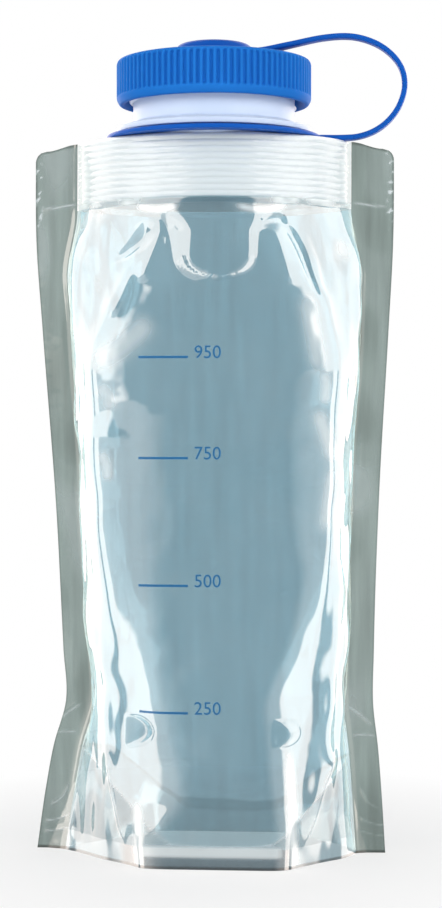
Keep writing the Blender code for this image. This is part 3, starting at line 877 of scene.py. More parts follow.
@dataclass
class Wall:
    """One wall of the pouch, from the ground to the boat's lower edge. Lengths are in metres."""

    side: Side
    outline: Outline
    folds: tuple[Fold | Leaf, ...]
    seed: int
    tongue: Tongue | None = None
    film: float = 0.35 * MM
    hem_top: float = 7.0 * MM
    weld_bottom: float = 225.0 * MM
    seam_half: float = 0.65 * MM
    # Middle height, half height and half length of the milky band pressed into the front hem
    band_height: float = 5.9 * MM
    band_half: float = 1.9 * MM
    band_reach: float = 27.0 * MM
    # Ripples and a finer grain all over, and the pleats, dents and milky patches of the flanks, which partly
    # paint their pale reflections
    ripples: Ripple = Ripple(0, 9 * MM, 30 * MM, 0.14 * MM)
    grain: Ripple = Ripple(1, 2.5 * MM, 6 * MM, 0.012 * MM)
    pleats: Ripple = Ripple(2, 5 * MM, 13 * MM, 0.42 * MM, stretch=7.0)
    dents: Ripple = Ripple(3, 14 * MM, 34 * MM, 0.7 * MM)
    patches: Ripple = Ripple(4, 7 * MM, 24 * MM, 1.0, stretch=1.5)
    # Where pleats and dents begin, from 0 in the wall's middle to 1 at a seam, and how soon they are full
    pleat_start: float = 0.45
    pleat_ease: float = 0.25
    dent_start: float = 0.3
    dent_ease: float = 0.3
    # Over what length relief eases to nothing at the boat and at a seam, and to a share at the foot
    boat_ease: float = 6.0 * MM
    seam_ease: float = 0.05
    foot_ease: float = 10.0 * MM
    foot_share: float = 0.2
    # Milkiness of the patches, partly painted reflection, the height where they begin, and over what climb
    # they are full
    patch_milk: float = 0.3
    patch_foot: float = 45.0 * MM
    patch_climb: float = 25.0 * MM
    # Half length of the hem's pressed middle, the ease of its ends, and how welded the hem is beyond it
    pressed_half: float = 31.0 * MM
    pressed_ease: float = 3.0 * MM
    hem_weld: float = 0.22
    # Columns between two ridges, and the columns over which a ridge is rounded
    span_columns: int = 18
    rounding: float = 4.0
    levels: int = 261
    hem_levels: int = 12

    def section(self, z: np.ndarray) -> tuple[np.ndarray, np.ndarray]:
        """The wall's form before its folds.

        Straight runs join neighbouring ridges, and a Gaussian average along each row rounds the corners.

        Args:
            z: Rising heights in metres.

        Returns:
            X from the neck's axis and the depth from the middle plane, as heights × columns.
        """
        levels = np.array(RIDGE_LEVELS) * MM
        ends = []
        for sign in (-1, 1):
            edge = self.outline.inner(z, sign)
            ends.append(np.stack([edge, self.seam_half + self.outline.corner_bulge(edge, z, sign)], -1))
        ridges = [
            np.stack([smooth_curve(z, levels, np.array(ridge)[:, i] * MM) for i in (0, 1)], -1)
            for ridge in RIDGES
        ]
        lines = np.stack([ends[0], *ridges, ends[1]], 1)
        at = np.linspace(0, lines.shape[1] - 1, self.span_columns * (lines.shape[1] - 1) + 1)
        low = np.minimum(at.astype(int), lines.shape[1] - 2)
        share = (at - low)[None, :, None]
        rows = lines[:, low] * (1 - share) + lines[:, low + 1] * share
        reach = int(3 * self.rounding)
        # Each row goes on beyond its ends, turned about them, so that its ends stay in place
        before = 2 * rows[:, :1] - rows[:, reach:0:-1]
        after = 2 * rows[:, -1:] - rows[:, -2:-reach - 2:-1]
        padded = np.concatenate([before, rows, after], 1)
        kernel = np.exp(-0.5 * (np.arange(-reach, reach + 1) / self.rounding) ** 2)
        kernel /= kernel.sum()
        smooth = sum(weight * padded[:, i:i + rows.shape[1]] for i, weight in enumerate(kernel))
        return smooth[..., 0], smooth[..., 1]

    def weld_line(self, x: np.ndarray) -> np.ndarray:
        """Height of the line where the floor film is welded to the wall, at each X."""
        knots, heights = np.array(WELD_LINE).T * MM
        return np.interp(x, knots, heights)

    def relief(
        self, x: np.ndarray, z: np.ndarray, along: np.ndarray, u: np.ndarray
    ) -> tuple[np.ndarray, np.ndarray]:
        """Ripples, pleats and folds over the wall's form.

        Fine ripples cover the wall, and tall pleats and broad dents fill its flanks. All relief eases to
        nothing at the boat and at both seams, and to a fifth at the foot.

        Args:
            x: Distances from the neck's axis, as heights × columns.
            z: Heights in the same form.
            along: Lengths along each row from its middle.
            u: Place of each column, from -1 to 1.

        Returns:
            Outward displacements, and the milkiness of the folds, with the light and shade that they paint.
        """
        total, grain, pleats, dents = (
            kind.seeded(self.seed).read(along, z)
            for kind in (self.ripples, self.grain, self.pleats, self.dents)
        )
        total += grain
        total += self.flank(u) * pleats + smooth_step((np.abs(u) - self.dent_start) / self.dent_ease) * dents
        milk = np.zeros(x.shape)
        for fold in self.folds:
            relief, white = fold.read(x, z)
            total += relief
            milk = np.clip(milk + white, -1, 1)
        total *= smooth_step((self.weld_bottom - z) / self.boat_ease)
        if self.tongue:
            total = self.tongue.press(total, x, z, self.weld_bottom)
        total *= smooth_step((1 - np.abs(u)) / self.seam_ease)
        total *= self.foot_share + (1 - self.foot_share) * smooth_step(z / self.foot_ease)
        return total, milk

    def flank(self, u: np.ndarray) -> np.ndarray:
        """How much each column belongs to a flank: 0 in the wall's middle and 1 beside its seams."""
        return smooth_step((np.abs(u) - self.pleat_start) / self.pleat_ease)

    def mottle(self, z: np.ndarray, along: np.ndarray, u: np.ndarray) -> np.ndarray:
        """Milky patches on the flanks: partly the haze of film that handling has creased, partly painted pale
        reflections.

        Args:
            z: Heights, as heights × columns.
            along: Lengths along each row from its middle.
            u: Place of each column, from -1 to 1.

        Returns:
            Milkiness from 0 to patch_milk.
        """
        patches = self.patches.seeded(self.seed).read(along, z)
        above = smooth_step((z - self.patch_foot) / self.patch_climb)
        return self.patch_milk * smooth_step((patches - 0.15) / 0.6) * self.flank(u) * above

    def floor_weld(self, x: np.ndarray, z: np.ndarray) -> tuple[np.ndarray, np.ndarray]:
        """The weld of the floor film on the front wall.

        Args:
            x: Distances from the neck's axis, as heights × columns.
            z: Heights in the same form.

        Returns:
            How far each place is welded, and the milkiness of the weld's edge and of the pressed band.
        """
        under = self.weld_line(x) - z
        welded = smooth_step(under / (0.8 * MM) + 0.5)
        edge = np.exp(-((under / (0.5 * MM)) ** 2))
        across = smooth_step((self.band_reach - np.abs(x)) / (4 * MM))
        band = np.exp(-(((z - self.band_height) / self.band_half) ** 6)) * across
        return welded, np.maximum(0.3 * edge, 0.85 * band)

    def points(self, z: np.ndarray) -> tuple[np.ndarray, dict[str, np.ndarray]]:
        """The wall's outer face with every fold, and its weld and crease values.

        Args:
            z: Rising heights in metres.

        Returns:
            Points as heights × columns × 3, in the order that faces outward, and the attribute values.
        """
        x, depth = self.section(z)
        heights = np.repeat(z[:, None], x.shape[1], 1)
        steps = np.hypot(np.diff(x, axis=1), np.diff(depth, axis=1))
        along = np.concatenate([np.zeros((len(z), 1)), np.cumsum(steps, axis=1)], 1)
        middle = along.shape[1] // 2
        along -= along[:, middle:middle + 1]
        u = np.linspace(-1, 1, x.shape[1])[None, :]
        relief, crease = self.relief(x, heights, along, u)
        crease = np.maximum(crease, self.mottle(heights, along, u))
        # The strip along each seam is a little milky
        crease = np.maximum(crease, 0.3 * smooth_step((np.abs(u) - 0.9) / 0.08))
        weld = np.zeros(x.shape)
        if self.side is Side.FRONT:
            weld, milk = self.floor_weld(x, heights)
            crease = np.maximum(crease, milk)
            # Painted shadow: the cut edge that the bottle stands on is darkened, whatever else is there
            crease = crease - 1.6 * smooth_step((1.3 * MM - heights) / (0.8 * MM))
        grid = np.stack([x + AXIS_X, self.side.value * depth, heights], -1)
        if self.side is Side.BACK:
            grid, relief, crease, weld = (part[:, ::-1] for part in (grid, relief, crease, weld))
        grid = grid + grid_normals(grid) * relief[..., None]
        return grid, {"weld": weld, "crease": np.clip(crease, -1, 1)}

    def depth_at(self, x: np.ndarray, z: np.ndarray) -> np.ndarray:
        """Reads how far the wall's form stands from the middle plane.

        Args:
            x: Distances from the neck's axis, within the wall's front.
            z: Heights in metres.

        Returns:
            Depths in metres.
        """
        levels = np.linspace(0, self.weld_bottom, 226)
        across, depth = self.section(levels)
        inside = slice(self.span_columns, -self.span_columns)
        across, depth = across[:, inside], depth[:, inside]
        row = np.clip(np.rint(z / levels[1]).astype(int), 0, len(levels) - 1)
        return read_rows(x, row, across, depth)

    def build(
        self, clear: bpy.types.Material, pressed: bpy.types.Material, inner: bpy.types.Material
    ) -> None:
        """Builds and dresses the free wall and its hem.

        Args:
            clear: Finish of the single film.
            pressed: Finish of the welded hem.
            inner: Finish of the inner faces.
        """
        prefix = self.side.name.lower()
        free = np.linspace(self.hem_top, self.weld_bottom, self.levels)
        hem = np.linspace(0, self.hem_top, self.hem_levels)
        for name, z, finish, node, slot in (
            (f"{prefix}_wall_film", free, clear, f"{prefix}_film", "clear_film"),
            (f"{prefix}_welded_hem", hem, pressed, f"{prefix}_hem", "welded_film"),
        ):
            points, values = self.points(z)
            if z is hem:
                beyond = np.abs(points[..., 0] - AXIS_X)
                middle = smooth_step((self.pressed_half - beyond) / self.pressed_ease)
                pressed_weld = self.hem_weld + (1 - self.hem_weld) * middle
                values["weld"] = pressed_weld if self.side is Side.FRONT else 0 * middle
            piece = film_shell(name, points, self.film, values)
            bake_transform(piece)
            dress(piece, slot, node, finish, inner)


# Creases of the right side seal, in millimetres, from its inner edge outward
SEAL_FOLDS = (
    Fold(((47.5, 227.6), (54, 226.4), (61, 225.6)), -0.45, 0.7, True, 0.55),
    Fold(((46.075, 52), (52, 48), (56, 44)), -0.4, 0.9, True, 0.3),
    Fold(((47.5, 41), (53, 41.5), (57, 41)), -0.35, 0.7, True, 0.35),
    Fold(((50, 13), (55, 10.5), (61, 9.5)), -0.3, 0.6, True, 0.4),
    Fold(((50, 8), (56, 6.5), (61, 6)), -0.3, 0.6, True, 0.35),
    Fold(((51, 24), (54, 18), (59, 15)), -0.25, 0.7, True, 0.3),
)


@dataclass
class SideSeal:
    """The flat welded strip down one side, with its flap beside the boat. Lengths are in metres."""

    sign: int
    outline: Outline
    # Top of the flap at its inner edge, how far it falls outward, and the radius of its corner
    top: float = 248.3 * MM
    drop: float = 2.4 * MM
    corner: float = 4.0 * MM
    # Half the thickness at both edges
    half_inner: float = 0.65 * MM
    half_outer: float = 0.25 * MM
    # Waves and a fine grain all over, and crimps under the flap's upper edge, down to a depth
    waves: Ripple = Ripple(40, 16 * MM, 50 * MM, 0.55 * MM, stretch=2.0)
    grain: Ripple = Ripple(50, 4 * MM, 9 * MM, 0.015 * MM, stretch=0.6)
    crimps: Ripple = Ripple(60, 5 * MM, 9 * MM, 0.3 * MM)
    crimp_depth: float = 5.0 * MM
    # Where its cut edge is darkest, its clouds, and the white chips of the flap's edge
    breaks: Ripple = Ripple(70, 1.5 * MM, 5 * MM, 1.0)
    clouds: Ripple = Ripple(90, 12 * MM, 40 * MM, 1.0, stretch=2.0)
    chips: Ripple = Ripple(75, 1.2 * MM, 3.5 * MM, 1.0)
    rows: int = 401
    columns: int = 33

    def wave(
        self, x: np.ndarray, z: np.ndarray, w: np.ndarray, ceiling: np.ndarray
    ) -> tuple[np.ndarray, np.ndarray]:
        """How the strip leaves its plane, which it does from nothing at its inner edge.

        Args:
            x: Distances from the neck's axis, as heights × columns.
            z: Heights in the same form.
            w: Places from the inner edge, 0, to the outer edge, 1.
            ceiling: Height of the flap's upper edge at each place.

        Returns:
            Distances from the plane, and how white the creases are.
        """
        wave = self.waves.seeded(self.sign).read(x, z)
        wave += self.grain.seeded(self.sign).read(x, z)
        crimp = self.crimps.seeded(self.sign).read(x, z)
        wave += crimp * smooth_step((z - (ceiling - self.crimp_depth)) / self.crimp_depth)
        white = np.zeros(x.shape)
        for fold in SEAL_FOLDS:
            relief, crease = fold.toward(self.sign).read(x, z)
            wave += relief
            white = np.maximum(white, crease)
        return wave * smooth_step(w / 0.35), white

    def whiteness(
        self, x: np.ndarray, z: np.ndarray, w: np.ndarray, ceiling: np.ndarray, white: np.ndarray
    ) -> np.ndarray:
        """Dark cut edges, clouds, white chips along the flap's edge, and painted shadow along the ground,
        over the white creases.

        Args:
            x: Distances from the neck's axis, as heights × columns.
            z: Heights in the same form.
            w: Places from the inner edge, 0, to the outer edge, 1.
            ceiling: Height of the flap's upper edge at each place.
            white: How white the creases are.

        Returns:
            Values from -1 for dark to 1 for white.
        """
        rim = np.maximum(smooth_step((w - 0.94) / 0.06), smooth_step((z - ceiling + 1.2 * MM) / (0.8 * MM)))
        broken = 0.5 + 0.5 * self.breaks.seeded(self.sign).read(x, z)
        upper = smooth_step((z - 205 * MM) / (20 * MM))
        white = white - rim * (0.35 + 0.65 * upper * np.clip(broken, 0, 1.3))
        cloud = self.clouds.seeded(self.sign).read(x, z)
        white = white + 0.16 * smooth_step((cloud - 0.1) / 0.6) - 0.25 * smooth_step((-cloud - 0.1) / 0.6)
        chips = smooth_step((self.chips.seeded(self.sign).read(x, z) - 0.3) / 0.3)
        white = white + 0.9 * chips * smooth_step((w - 0.8) / 0.1) * smooth_step((z - 216 * MM) / (8 * MM))
        # Painted shadow: the strip is darkened along the ground it stands on
        return np.clip(white - 1.4 * smooth_step((1.2 * MM - z) / (0.8 * MM)), -1, 1)

    def faces(self) -> tuple[np.ndarray, np.ndarray, np.ndarray]:
        """The strip's front and back faces.

        The strip runs between the outline's inner and outer edges, with a rounded corner at the top of
        its flap. It thins from half_inner to half_outer, and opens at its foot as the outline tells.

        Returns:
            Points of the front and of the back face as rows × columns × 3, and how white each place is.
        """
        v, w = np.meshgrid(np.linspace(0, 1, self.rows), np.linspace(0, 1, self.columns), indexing="ij")
        ceiling = self.top - self.drop * smooth_step(w)
        z = v * ceiling
        outer = self.outline.outer(z, self.sign)
        above = np.clip((z - (ceiling - self.corner)) / self.corner, 0, 1)
        outer = outer - self.sign * self.corner * (1 - np.sqrt(np.maximum(1 - above ** 2, 0)))
        inner = self.outline.inner(z, self.sign)
        x = inner + (outer - inner) * w
        wave, creases = self.wave(x, z, w, ceiling)
        white = self.whiteness(x, z, w, ceiling, creases)
        half = self.half_inner + (self.half_outer - self.half_inner) * smooth_step(w / 0.2)
        half = half + self.outline.corner_bulge(x, z, self.sign) * smooth_step((1 - w) / 0.1)
        front, back = (np.stack([x + AXIS_X, wave + way * half, z], -1) for way in (-1, 1))
        return front, back, white

    def build(self, welded: bpy.types.Material, inner: bpy.types.Material) -> None:
        """Builds and dresses the strip.

        Args:
            welded: Finish of the front face.
            inner: Finish of the back face and of the edge that lies in the pouch.
        """
        front, back, white = self.faces()
        if self.sign < 0:
            front, back, white = front[:, ::-1], back[:, ::-1], white[:, ::-1]
        rows, columns = white.shape
        finish = np.zeros((rows + 1, 2 * columns), int)
        finish[1:-1, columns:2 * columns - 1] = 1
        finish[:, columns - 1 if self.sign < 0 else -1] = 1
        side = "left" if self.sign < 0 else "right"
        values = {"crease": white, "weld": np.ones(white.shape)}
        piece = shell(f"{side}_welded_strip", front, back, values, finish)
        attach(piece, "bottle")
        dress(piece, "welded_film", f"{side}_side_seal", welded, inner)


@dataclass
class BoatFilm:
    """The film welded round one side of the boat. Lengths are in metres."""

    side: Side
    low: float = 225.0 * MM
    high: float = 248.3 * MM
    film: float = 0.25 * MM
    half_length: float = 47.9 * MM
    half_depth: float = 29.35 * MM
    seam_half: float = 0.65 * MM
    # How deep it sinks between two ribs
    sink: float = 0.45 * MM
    # Height of the free edge's milky band, partly a painted highlight of its crinkles
    band_top: float = 227.4 * MM
    # Its crinkles, and how its milky band is broken
    crinkles: Ripple = Ripple(80, 6 * MM, 20 * MM, 0.1 * MM, stretch=0.5)
    breaks: Ripple = Ripple(84, 3 * MM, 14 * MM, 0.5)

    def build(self, wet: bpy.types.Material, inner: bpy.types.Material) -> None:
        """Builds the film as the lens curve D(x) carried up the boat, sunk between its ribs.

        Args:
            wet: Finish of the film's outer face.
            inner: Finish of its inner face.
        """
        u, z = np.meshgrid(np.linspace(-1, 1, 161), np.linspace(self.low, self.high, 121))
        x = self.half_length * np.sin(u * math.pi / 2)
        depth = self.seam_half + boat_curve(x, self.half_length, self.half_depth)
        crinkle = self.crinkles.seeded(self.side.value).read(x, z)
        out = self.sink * (rib_relief(z) - 1) + crinkle
        out = out * smooth_step((1 - np.abs(u)) / 0.1) * smooth_step((z - self.low) / (3 * MM))
        grid = np.stack([x + AXIS_X, self.side.value * depth, z], -1)
        if self.side is Side.BACK:
            grid, out = grid[:, ::-1], out[:, ::-1]
        grid = grid + grid_normals(grid) * out[..., None]
        below = smooth_step((self.band_top - z) / (0.4 * MM))
        middle = smooth_step((26 * MM - np.abs(x)) / (8 * MM))
        broken = 0.45 + self.breaks.seeded(self.side.value).read(x, z)
        # Beside the middle, the milky band below the lowest rib is partly a painted highlight
        values = {"weld": below * middle, "crease": np.clip(broken, 0, 0.9) * below * (1 - middle)}
        prefix = self.side.name.lower()
        piece = film_shell(f"{prefix}_boat_film", grid, self.film, values)
        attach(piece, "bottle")
        dress(piece, "clear_film", f"{prefix}_neck_weld", wet, inner)


def boat_curve(x: np.ndarray, half_length: float, half_depth: float) -> np.ndarray:
    """Height of a circular arc over its chord, as the boat's plan has on both sides.

    Args:
        x: Places along the chord, from its middle.
        half_length: Half the chord.
        half_depth: Height in the middle.

    Returns:
        Heights, and 0 beyond the chord.
    """
    radius = (half_length ** 2 + half_depth ** 2) / (2 * half_depth)
    return np.maximum(np.sqrt(np.maximum(radius ** 2 - x ** 2, 0)) - (radius - half_depth), 0)


# Foot of the lowest of the boat's ten ribs, and the height of one rib
RIB_FOOT = 227.0 * MM
RIB_PITCH = 2.16 * MM


def rib_relief(z: np.ndarray) -> np.ndarray:
    """Rounded ribs round the boat: 1 on the middle of a rib, and 0 between two, at each height."""
    return np.sqrt(np.abs(np.sin(math.pi * (z - RIB_FOOT) / RIB_PITCH)))


def capped(grid: np.ndarray) -> np.ndarray:
    """Closes a tube's ends with a row at each, whose points all lie in the middle of the last ring.

    Args:
        grid: Rings of the tube as rings × points × 3.

    Returns:
        The same with a row before and a row after.
    """
    first, last = (grid[i].mean(axis=0)[None, None].repeat(grid.shape[1], 1) for i in (0, -1))
    return np.concatenate([first, grid, last], 0)


def turned(name: str, profile: np.ndarray, steps: int, closed: bool) -> bpy.types.Object:
    """Carries a profile once round the neck's axis.

    Args:
        name: Name of the new object.
        profile: Rows of radius and height. It runs up the piece's outer side, and starts and ends on
            the axis, or closes on itself.
        steps: Places round the turn.
        closed: Whether the profile closes on itself.

    Returns:
        The new object.
    """
    if closed:
        profile = np.concatenate([profile, profile[:1]])
    angle = np.linspace(0, 2 * math.pi, steps, endpoint=False)
    radius, height = profile[:, :1], profile[:, 1:]
    grid = np.stack(
        [AXIS_X + radius * np.cos(angle), radius * np.sin(angle), np.repeat(height, steps, 1)], -1
    )
    return surface(name, grid, wrap=True, close=closed)


def rounded(points: tuple[tuple[float, float, float], ...], steps: int = 5) -> np.ndarray:
    """Rounds the corners of a profile.

    Each corner becomes a quadratic curve (1-t)²A + 2t(1-t)C + t²B between two points at its radius.

    Args:
        points: Radius, height and corner radius in millimetres. The ends aren't rounded.
        steps: Points on each rounded corner.

    Returns:
        Rows of radius and height in metres.
    """
    made = [points[0][:2]]
    for before, here, after in zip(points, points[1:], points[2:]):
        corner = np.array(here[:2])
        if here[2] == 0:
            made.append(tuple(corner))
            continue
        back, ahead = np.array(before[:2]) - corner, np.array(after[:2]) - corner
        start = corner + back / np.linalg.norm(back) * here[2]
        end = corner + ahead / np.linalg.norm(ahead) * here[2]
        t = np.linspace(0, 1, steps)[:, None]
        made.extend((1 - t) ** 2 * start + 2 * t * (1 - t) * corner + t * t * end)
    made.append(points[-1][:2])
    return np.array([tuple(p) for p in made]) * MM


@dataclass
class NeckFitting:
    """The white moulding: a ribbed boat, the spool, the flange and the threaded neck.

    Lengths are in millimetres.
    """

    boat_length: float = 46.6
    boat_depth: float = 29.0
    boat_foot: float = 227.0
    boat_top: float = 248.6
    groove: float = 0.7
    # Half the thickness of the boat's pointed ends
    tip: float = 0.6
    bore: float = 26.5
    # Rise of the thread a turn, its foot, the share of it that swells, and the radius and size of its ridge
    lead: float = 4.23
    thread_turns: float = 1.6
    thread_foot: float = 260.6
    thread_swell: float = 0.06
    thread_radius: float = 28.1
    thread_height: float = 1.5
    thread_half: float = 1.1
    # Spool, flange and neck, up the outside and down the bore: radius, height and rounding
    profile: tuple[tuple[float, float, float], ...] = (
        (26.5, 247, 0), (28.4, 247, 0), (28.4, 251.2, 0.3), (34.2, 251.2, 0.4), (34.2, 253.1, 0.6),
        (31.6, 253.8, 0.8), (28.2, 254.6, 0.9), (28.2, 274, 0.9), (26.5, 274, 0.7), (26.5, 247, 0),
    )

    def boat(self) -> bpy.types.Object:
        """Builds the ribbed boat with the bore through it.

        At each angle round the neck, the outer wall stands at the lens's polar radius less the groove
        between two ribs, and the section runs up it, in to the bore and down the bore.

        Returns:
            The new object.
        """
        angle = np.linspace(0, 2 * math.pi, 720, endpoint=False)
        # The places lie closer at the boat's two points
        angle = angle - 0.35 * np.sin(2 * angle) / 2
        half = self.boat_depth - self.tip
        radius = (self.boat_length ** 2 + half ** 2) / (2 * half)
        centre = radius - half
        sine, cosine = np.abs(np.sin(angle)), np.cos(angle)
        lens = -centre * sine + np.sqrt(radius ** 2 - (centre * cosine) ** 2)
        z = np.linspace(self.boat_foot, self.boat_top, 111)
        sunk = self.groove * (1 - rib_relief(z * MM))[:, None]
        outer = np.repeat(lens[None, :], len(z), 0) - sunk
        x, y = outer * cosine, outer * np.sin(angle)
        y = y + np.sign(np.sin(angle)) * self.tip * np.minimum(sine / 0.02, 1)
        wall = np.stack([x, y, np.repeat(z[:, None], len(angle), 1)], -1)
        across, deep = self.bore * cosine, self.bore * np.sin(angle)
        bore = [
            np.stack([across, deep, np.full(angle.shape, level)], -1)
            for level in (self.boat_top, self.boat_foot)
        ]
        # The top edge is eased by a quarter of a millimetre
        eased = wall[-1] * np.array([0.994, 0.994, 1]) + np.array([0, 0, 0.25])
        grid = np.stack([*wall, eased, *bore, wall[0]]) * MM
        grid[..., 0] += AXIS_X
        return surface("ribbed_boat", grid, wrap=True, close=True)

    def neck(self) -> bpy.types.Object:
        """Builds the turned spool, flange and neck."""
        return turned("neck_and_flange", rounded(self.profile)[:-1], 256, closed=True)

    def thread(self) -> bpy.types.Object:
        """Builds the thread, a rounded ridge along a helix that rises by its lead each turn.

        The ridge swells from nothing at its start, and sinks again at its end.

        Returns:
            The new object, sunk a little into the neck.
        """
        along = np.linspace(0, 1, 420)
        turn = 2 * math.pi * (self.thread_turns * along - 0.03)
        swell = smooth_step(along / self.thread_swell) * smooth_step((1 - along) / self.thread_swell)
        section = np.linspace(0, 2 * math.pi, 14, endpoint=False)
        height = self.thread_height * np.maximum(np.cos(section), -0.5)[None, :] * swell[:, None]
        radius = self.thread_radius + height
        rise = self.thread_foot + self.lead * self.thread_turns * along[:, None]
        z = rise + self.thread_half * np.sin(section)[None, :] * (0.15 + 0.85 * swell[:, None])
        grid = np.stack([radius * np.cos(turn)[:, None], radius * np.sin(turn)[:, None], z], -1) * MM
        grid[..., 0] += AXIS_X
        return surface("neck_thread", capped(grid)[:, ::-1], wrap=True)

    def build(self, white: bpy.types.Material, shaded: bpy.types.Material) -> None:
        """Builds and dresses the whole fitting.

        Args:
            white: Finish of the boat, behind its film.
            shaded: Finish of the bare neck, a darker, bluer copy of the white with painted shade and painted
                blue light from the cap.
        """
        for piece, finish in ((self.boat(), white), (self.neck(), shaded), (self.thread(), shaded)):
            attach(piece, "bottle")
            dress(piece, "white_moulding", "neck_fitting", finish)


@dataclass
class ScrewCap:
    """The fluted cap and the stud on its top. Lengths are in millimetres."""

    flutes: int = 93
    flute_depth: float = 1.1
    steps_per_flute: int = 12
    # The fluted flank, and where the flutes run out at the top
    flank_radius: float = 33.97
    flank_foot: float = 263.8
    flank_top: float = 275.0
    flute_end: float = 276.1
    # Over what height the flutes deepen at their foot and run out at the top, and the skirt's least radius
    flute_foot_ease: float = 1.2
    flute_end_ease: float = 1.1
    skirt_radius: float = 33.0
    # The outside up to the top, the top's groove, the stud, and the inside: radius, height and rounding
    outside: tuple[tuple[float, float, float], ...] = (
        (31.4, 261.3, 0), (32.9, 261.3, 0.6), (34.0, 263.1, 0.9), (34.0, 264.2, 0.3), (33.95, 275.2, 0.2),
        (33.6, 276.4, 0.6), (31.9, 277.0, 0.9), (24.0, 277.0, 0),
    )
    top: tuple[tuple[float, float], ...] = (
        (23.2, 276.9), (22.9, 276.7), (14.5, 276.7), (14.2, 277), (5, 277),
    )
    stud: tuple[tuple[float, float, float], ...] = ((5, 277, 0), (5, 280.4, 0.5), (0, 280.4, 0))
    inside: tuple[tuple[float, float, float], ...] = ((0, 274.4, 0), (31.4, 274.4, 0.6), (31.4, 261.3, 0))

    def profile(self) -> np.ndarray:
        """The cap's section, from the axis inside, round the skirt, to the axis on the stud's top.

        Returns:
            Rows of radius and height in metres, with close rows along the fluted flank.
        """
        outer = rounded(self.outside)
        flank = np.stack([
            np.full(36, self.flank_radius), np.linspace(self.flank_foot, self.flank_top, 36)
        ], 1) * MM
        below = outer[outer[:, 1] < self.flank_foot * MM]
        above = outer[outer[:, 1] > (self.flank_top + 0.05) * MM]
        top = np.array(self.top) * MM
        return np.concatenate([rounded(self.inside), below[1:], flank, above, top, rounded(self.stud)[1:]])

    def build(self, blue: bpy.types.Material) -> None:
        """Builds and dresses the cap, a turned profile whose skirt is scooped by the flutes.

        At an angle a the radius falls by depth * s(1/2 - 1.1 cos(na)) over the fluted zone, where s is a
        smooth step, so that lands and grooves are equally wide.

        Args:
            blue: Finish of the cap.
        """
        angle = np.linspace(0, 2 * math.pi, self.flutes * self.steps_per_flute, endpoint=False)
        profile = self.profile()
        z = profile[:, 1]
        zone = smooth_step((z - self.flank_foot * MM) / (self.flute_foot_ease * MM))
        zone = zone * smooth_step((self.flute_end * MM - z) / (self.flute_end_ease * MM))
        zone = zone * (profile[:, 0] > self.skirt_radius * MM)
        groove = smooth_step(0.5 - 1.1 * np.cos(self.flutes * angle))
        radius = profile[:, :1] - self.flute_depth * MM * zone[:, None] * groove[None, :]
        height = np.repeat(z[:, None], len(angle), 1)
        grid = np.stack([AXIS_X + radius * np.cos(angle), radius * np.sin(angle), height], -1)
        piece = surface("fluted_cap", grid, wrap=True)
        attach(piece, "cap")
        dress(piece, "cap_blue", "screw_cap", blue)


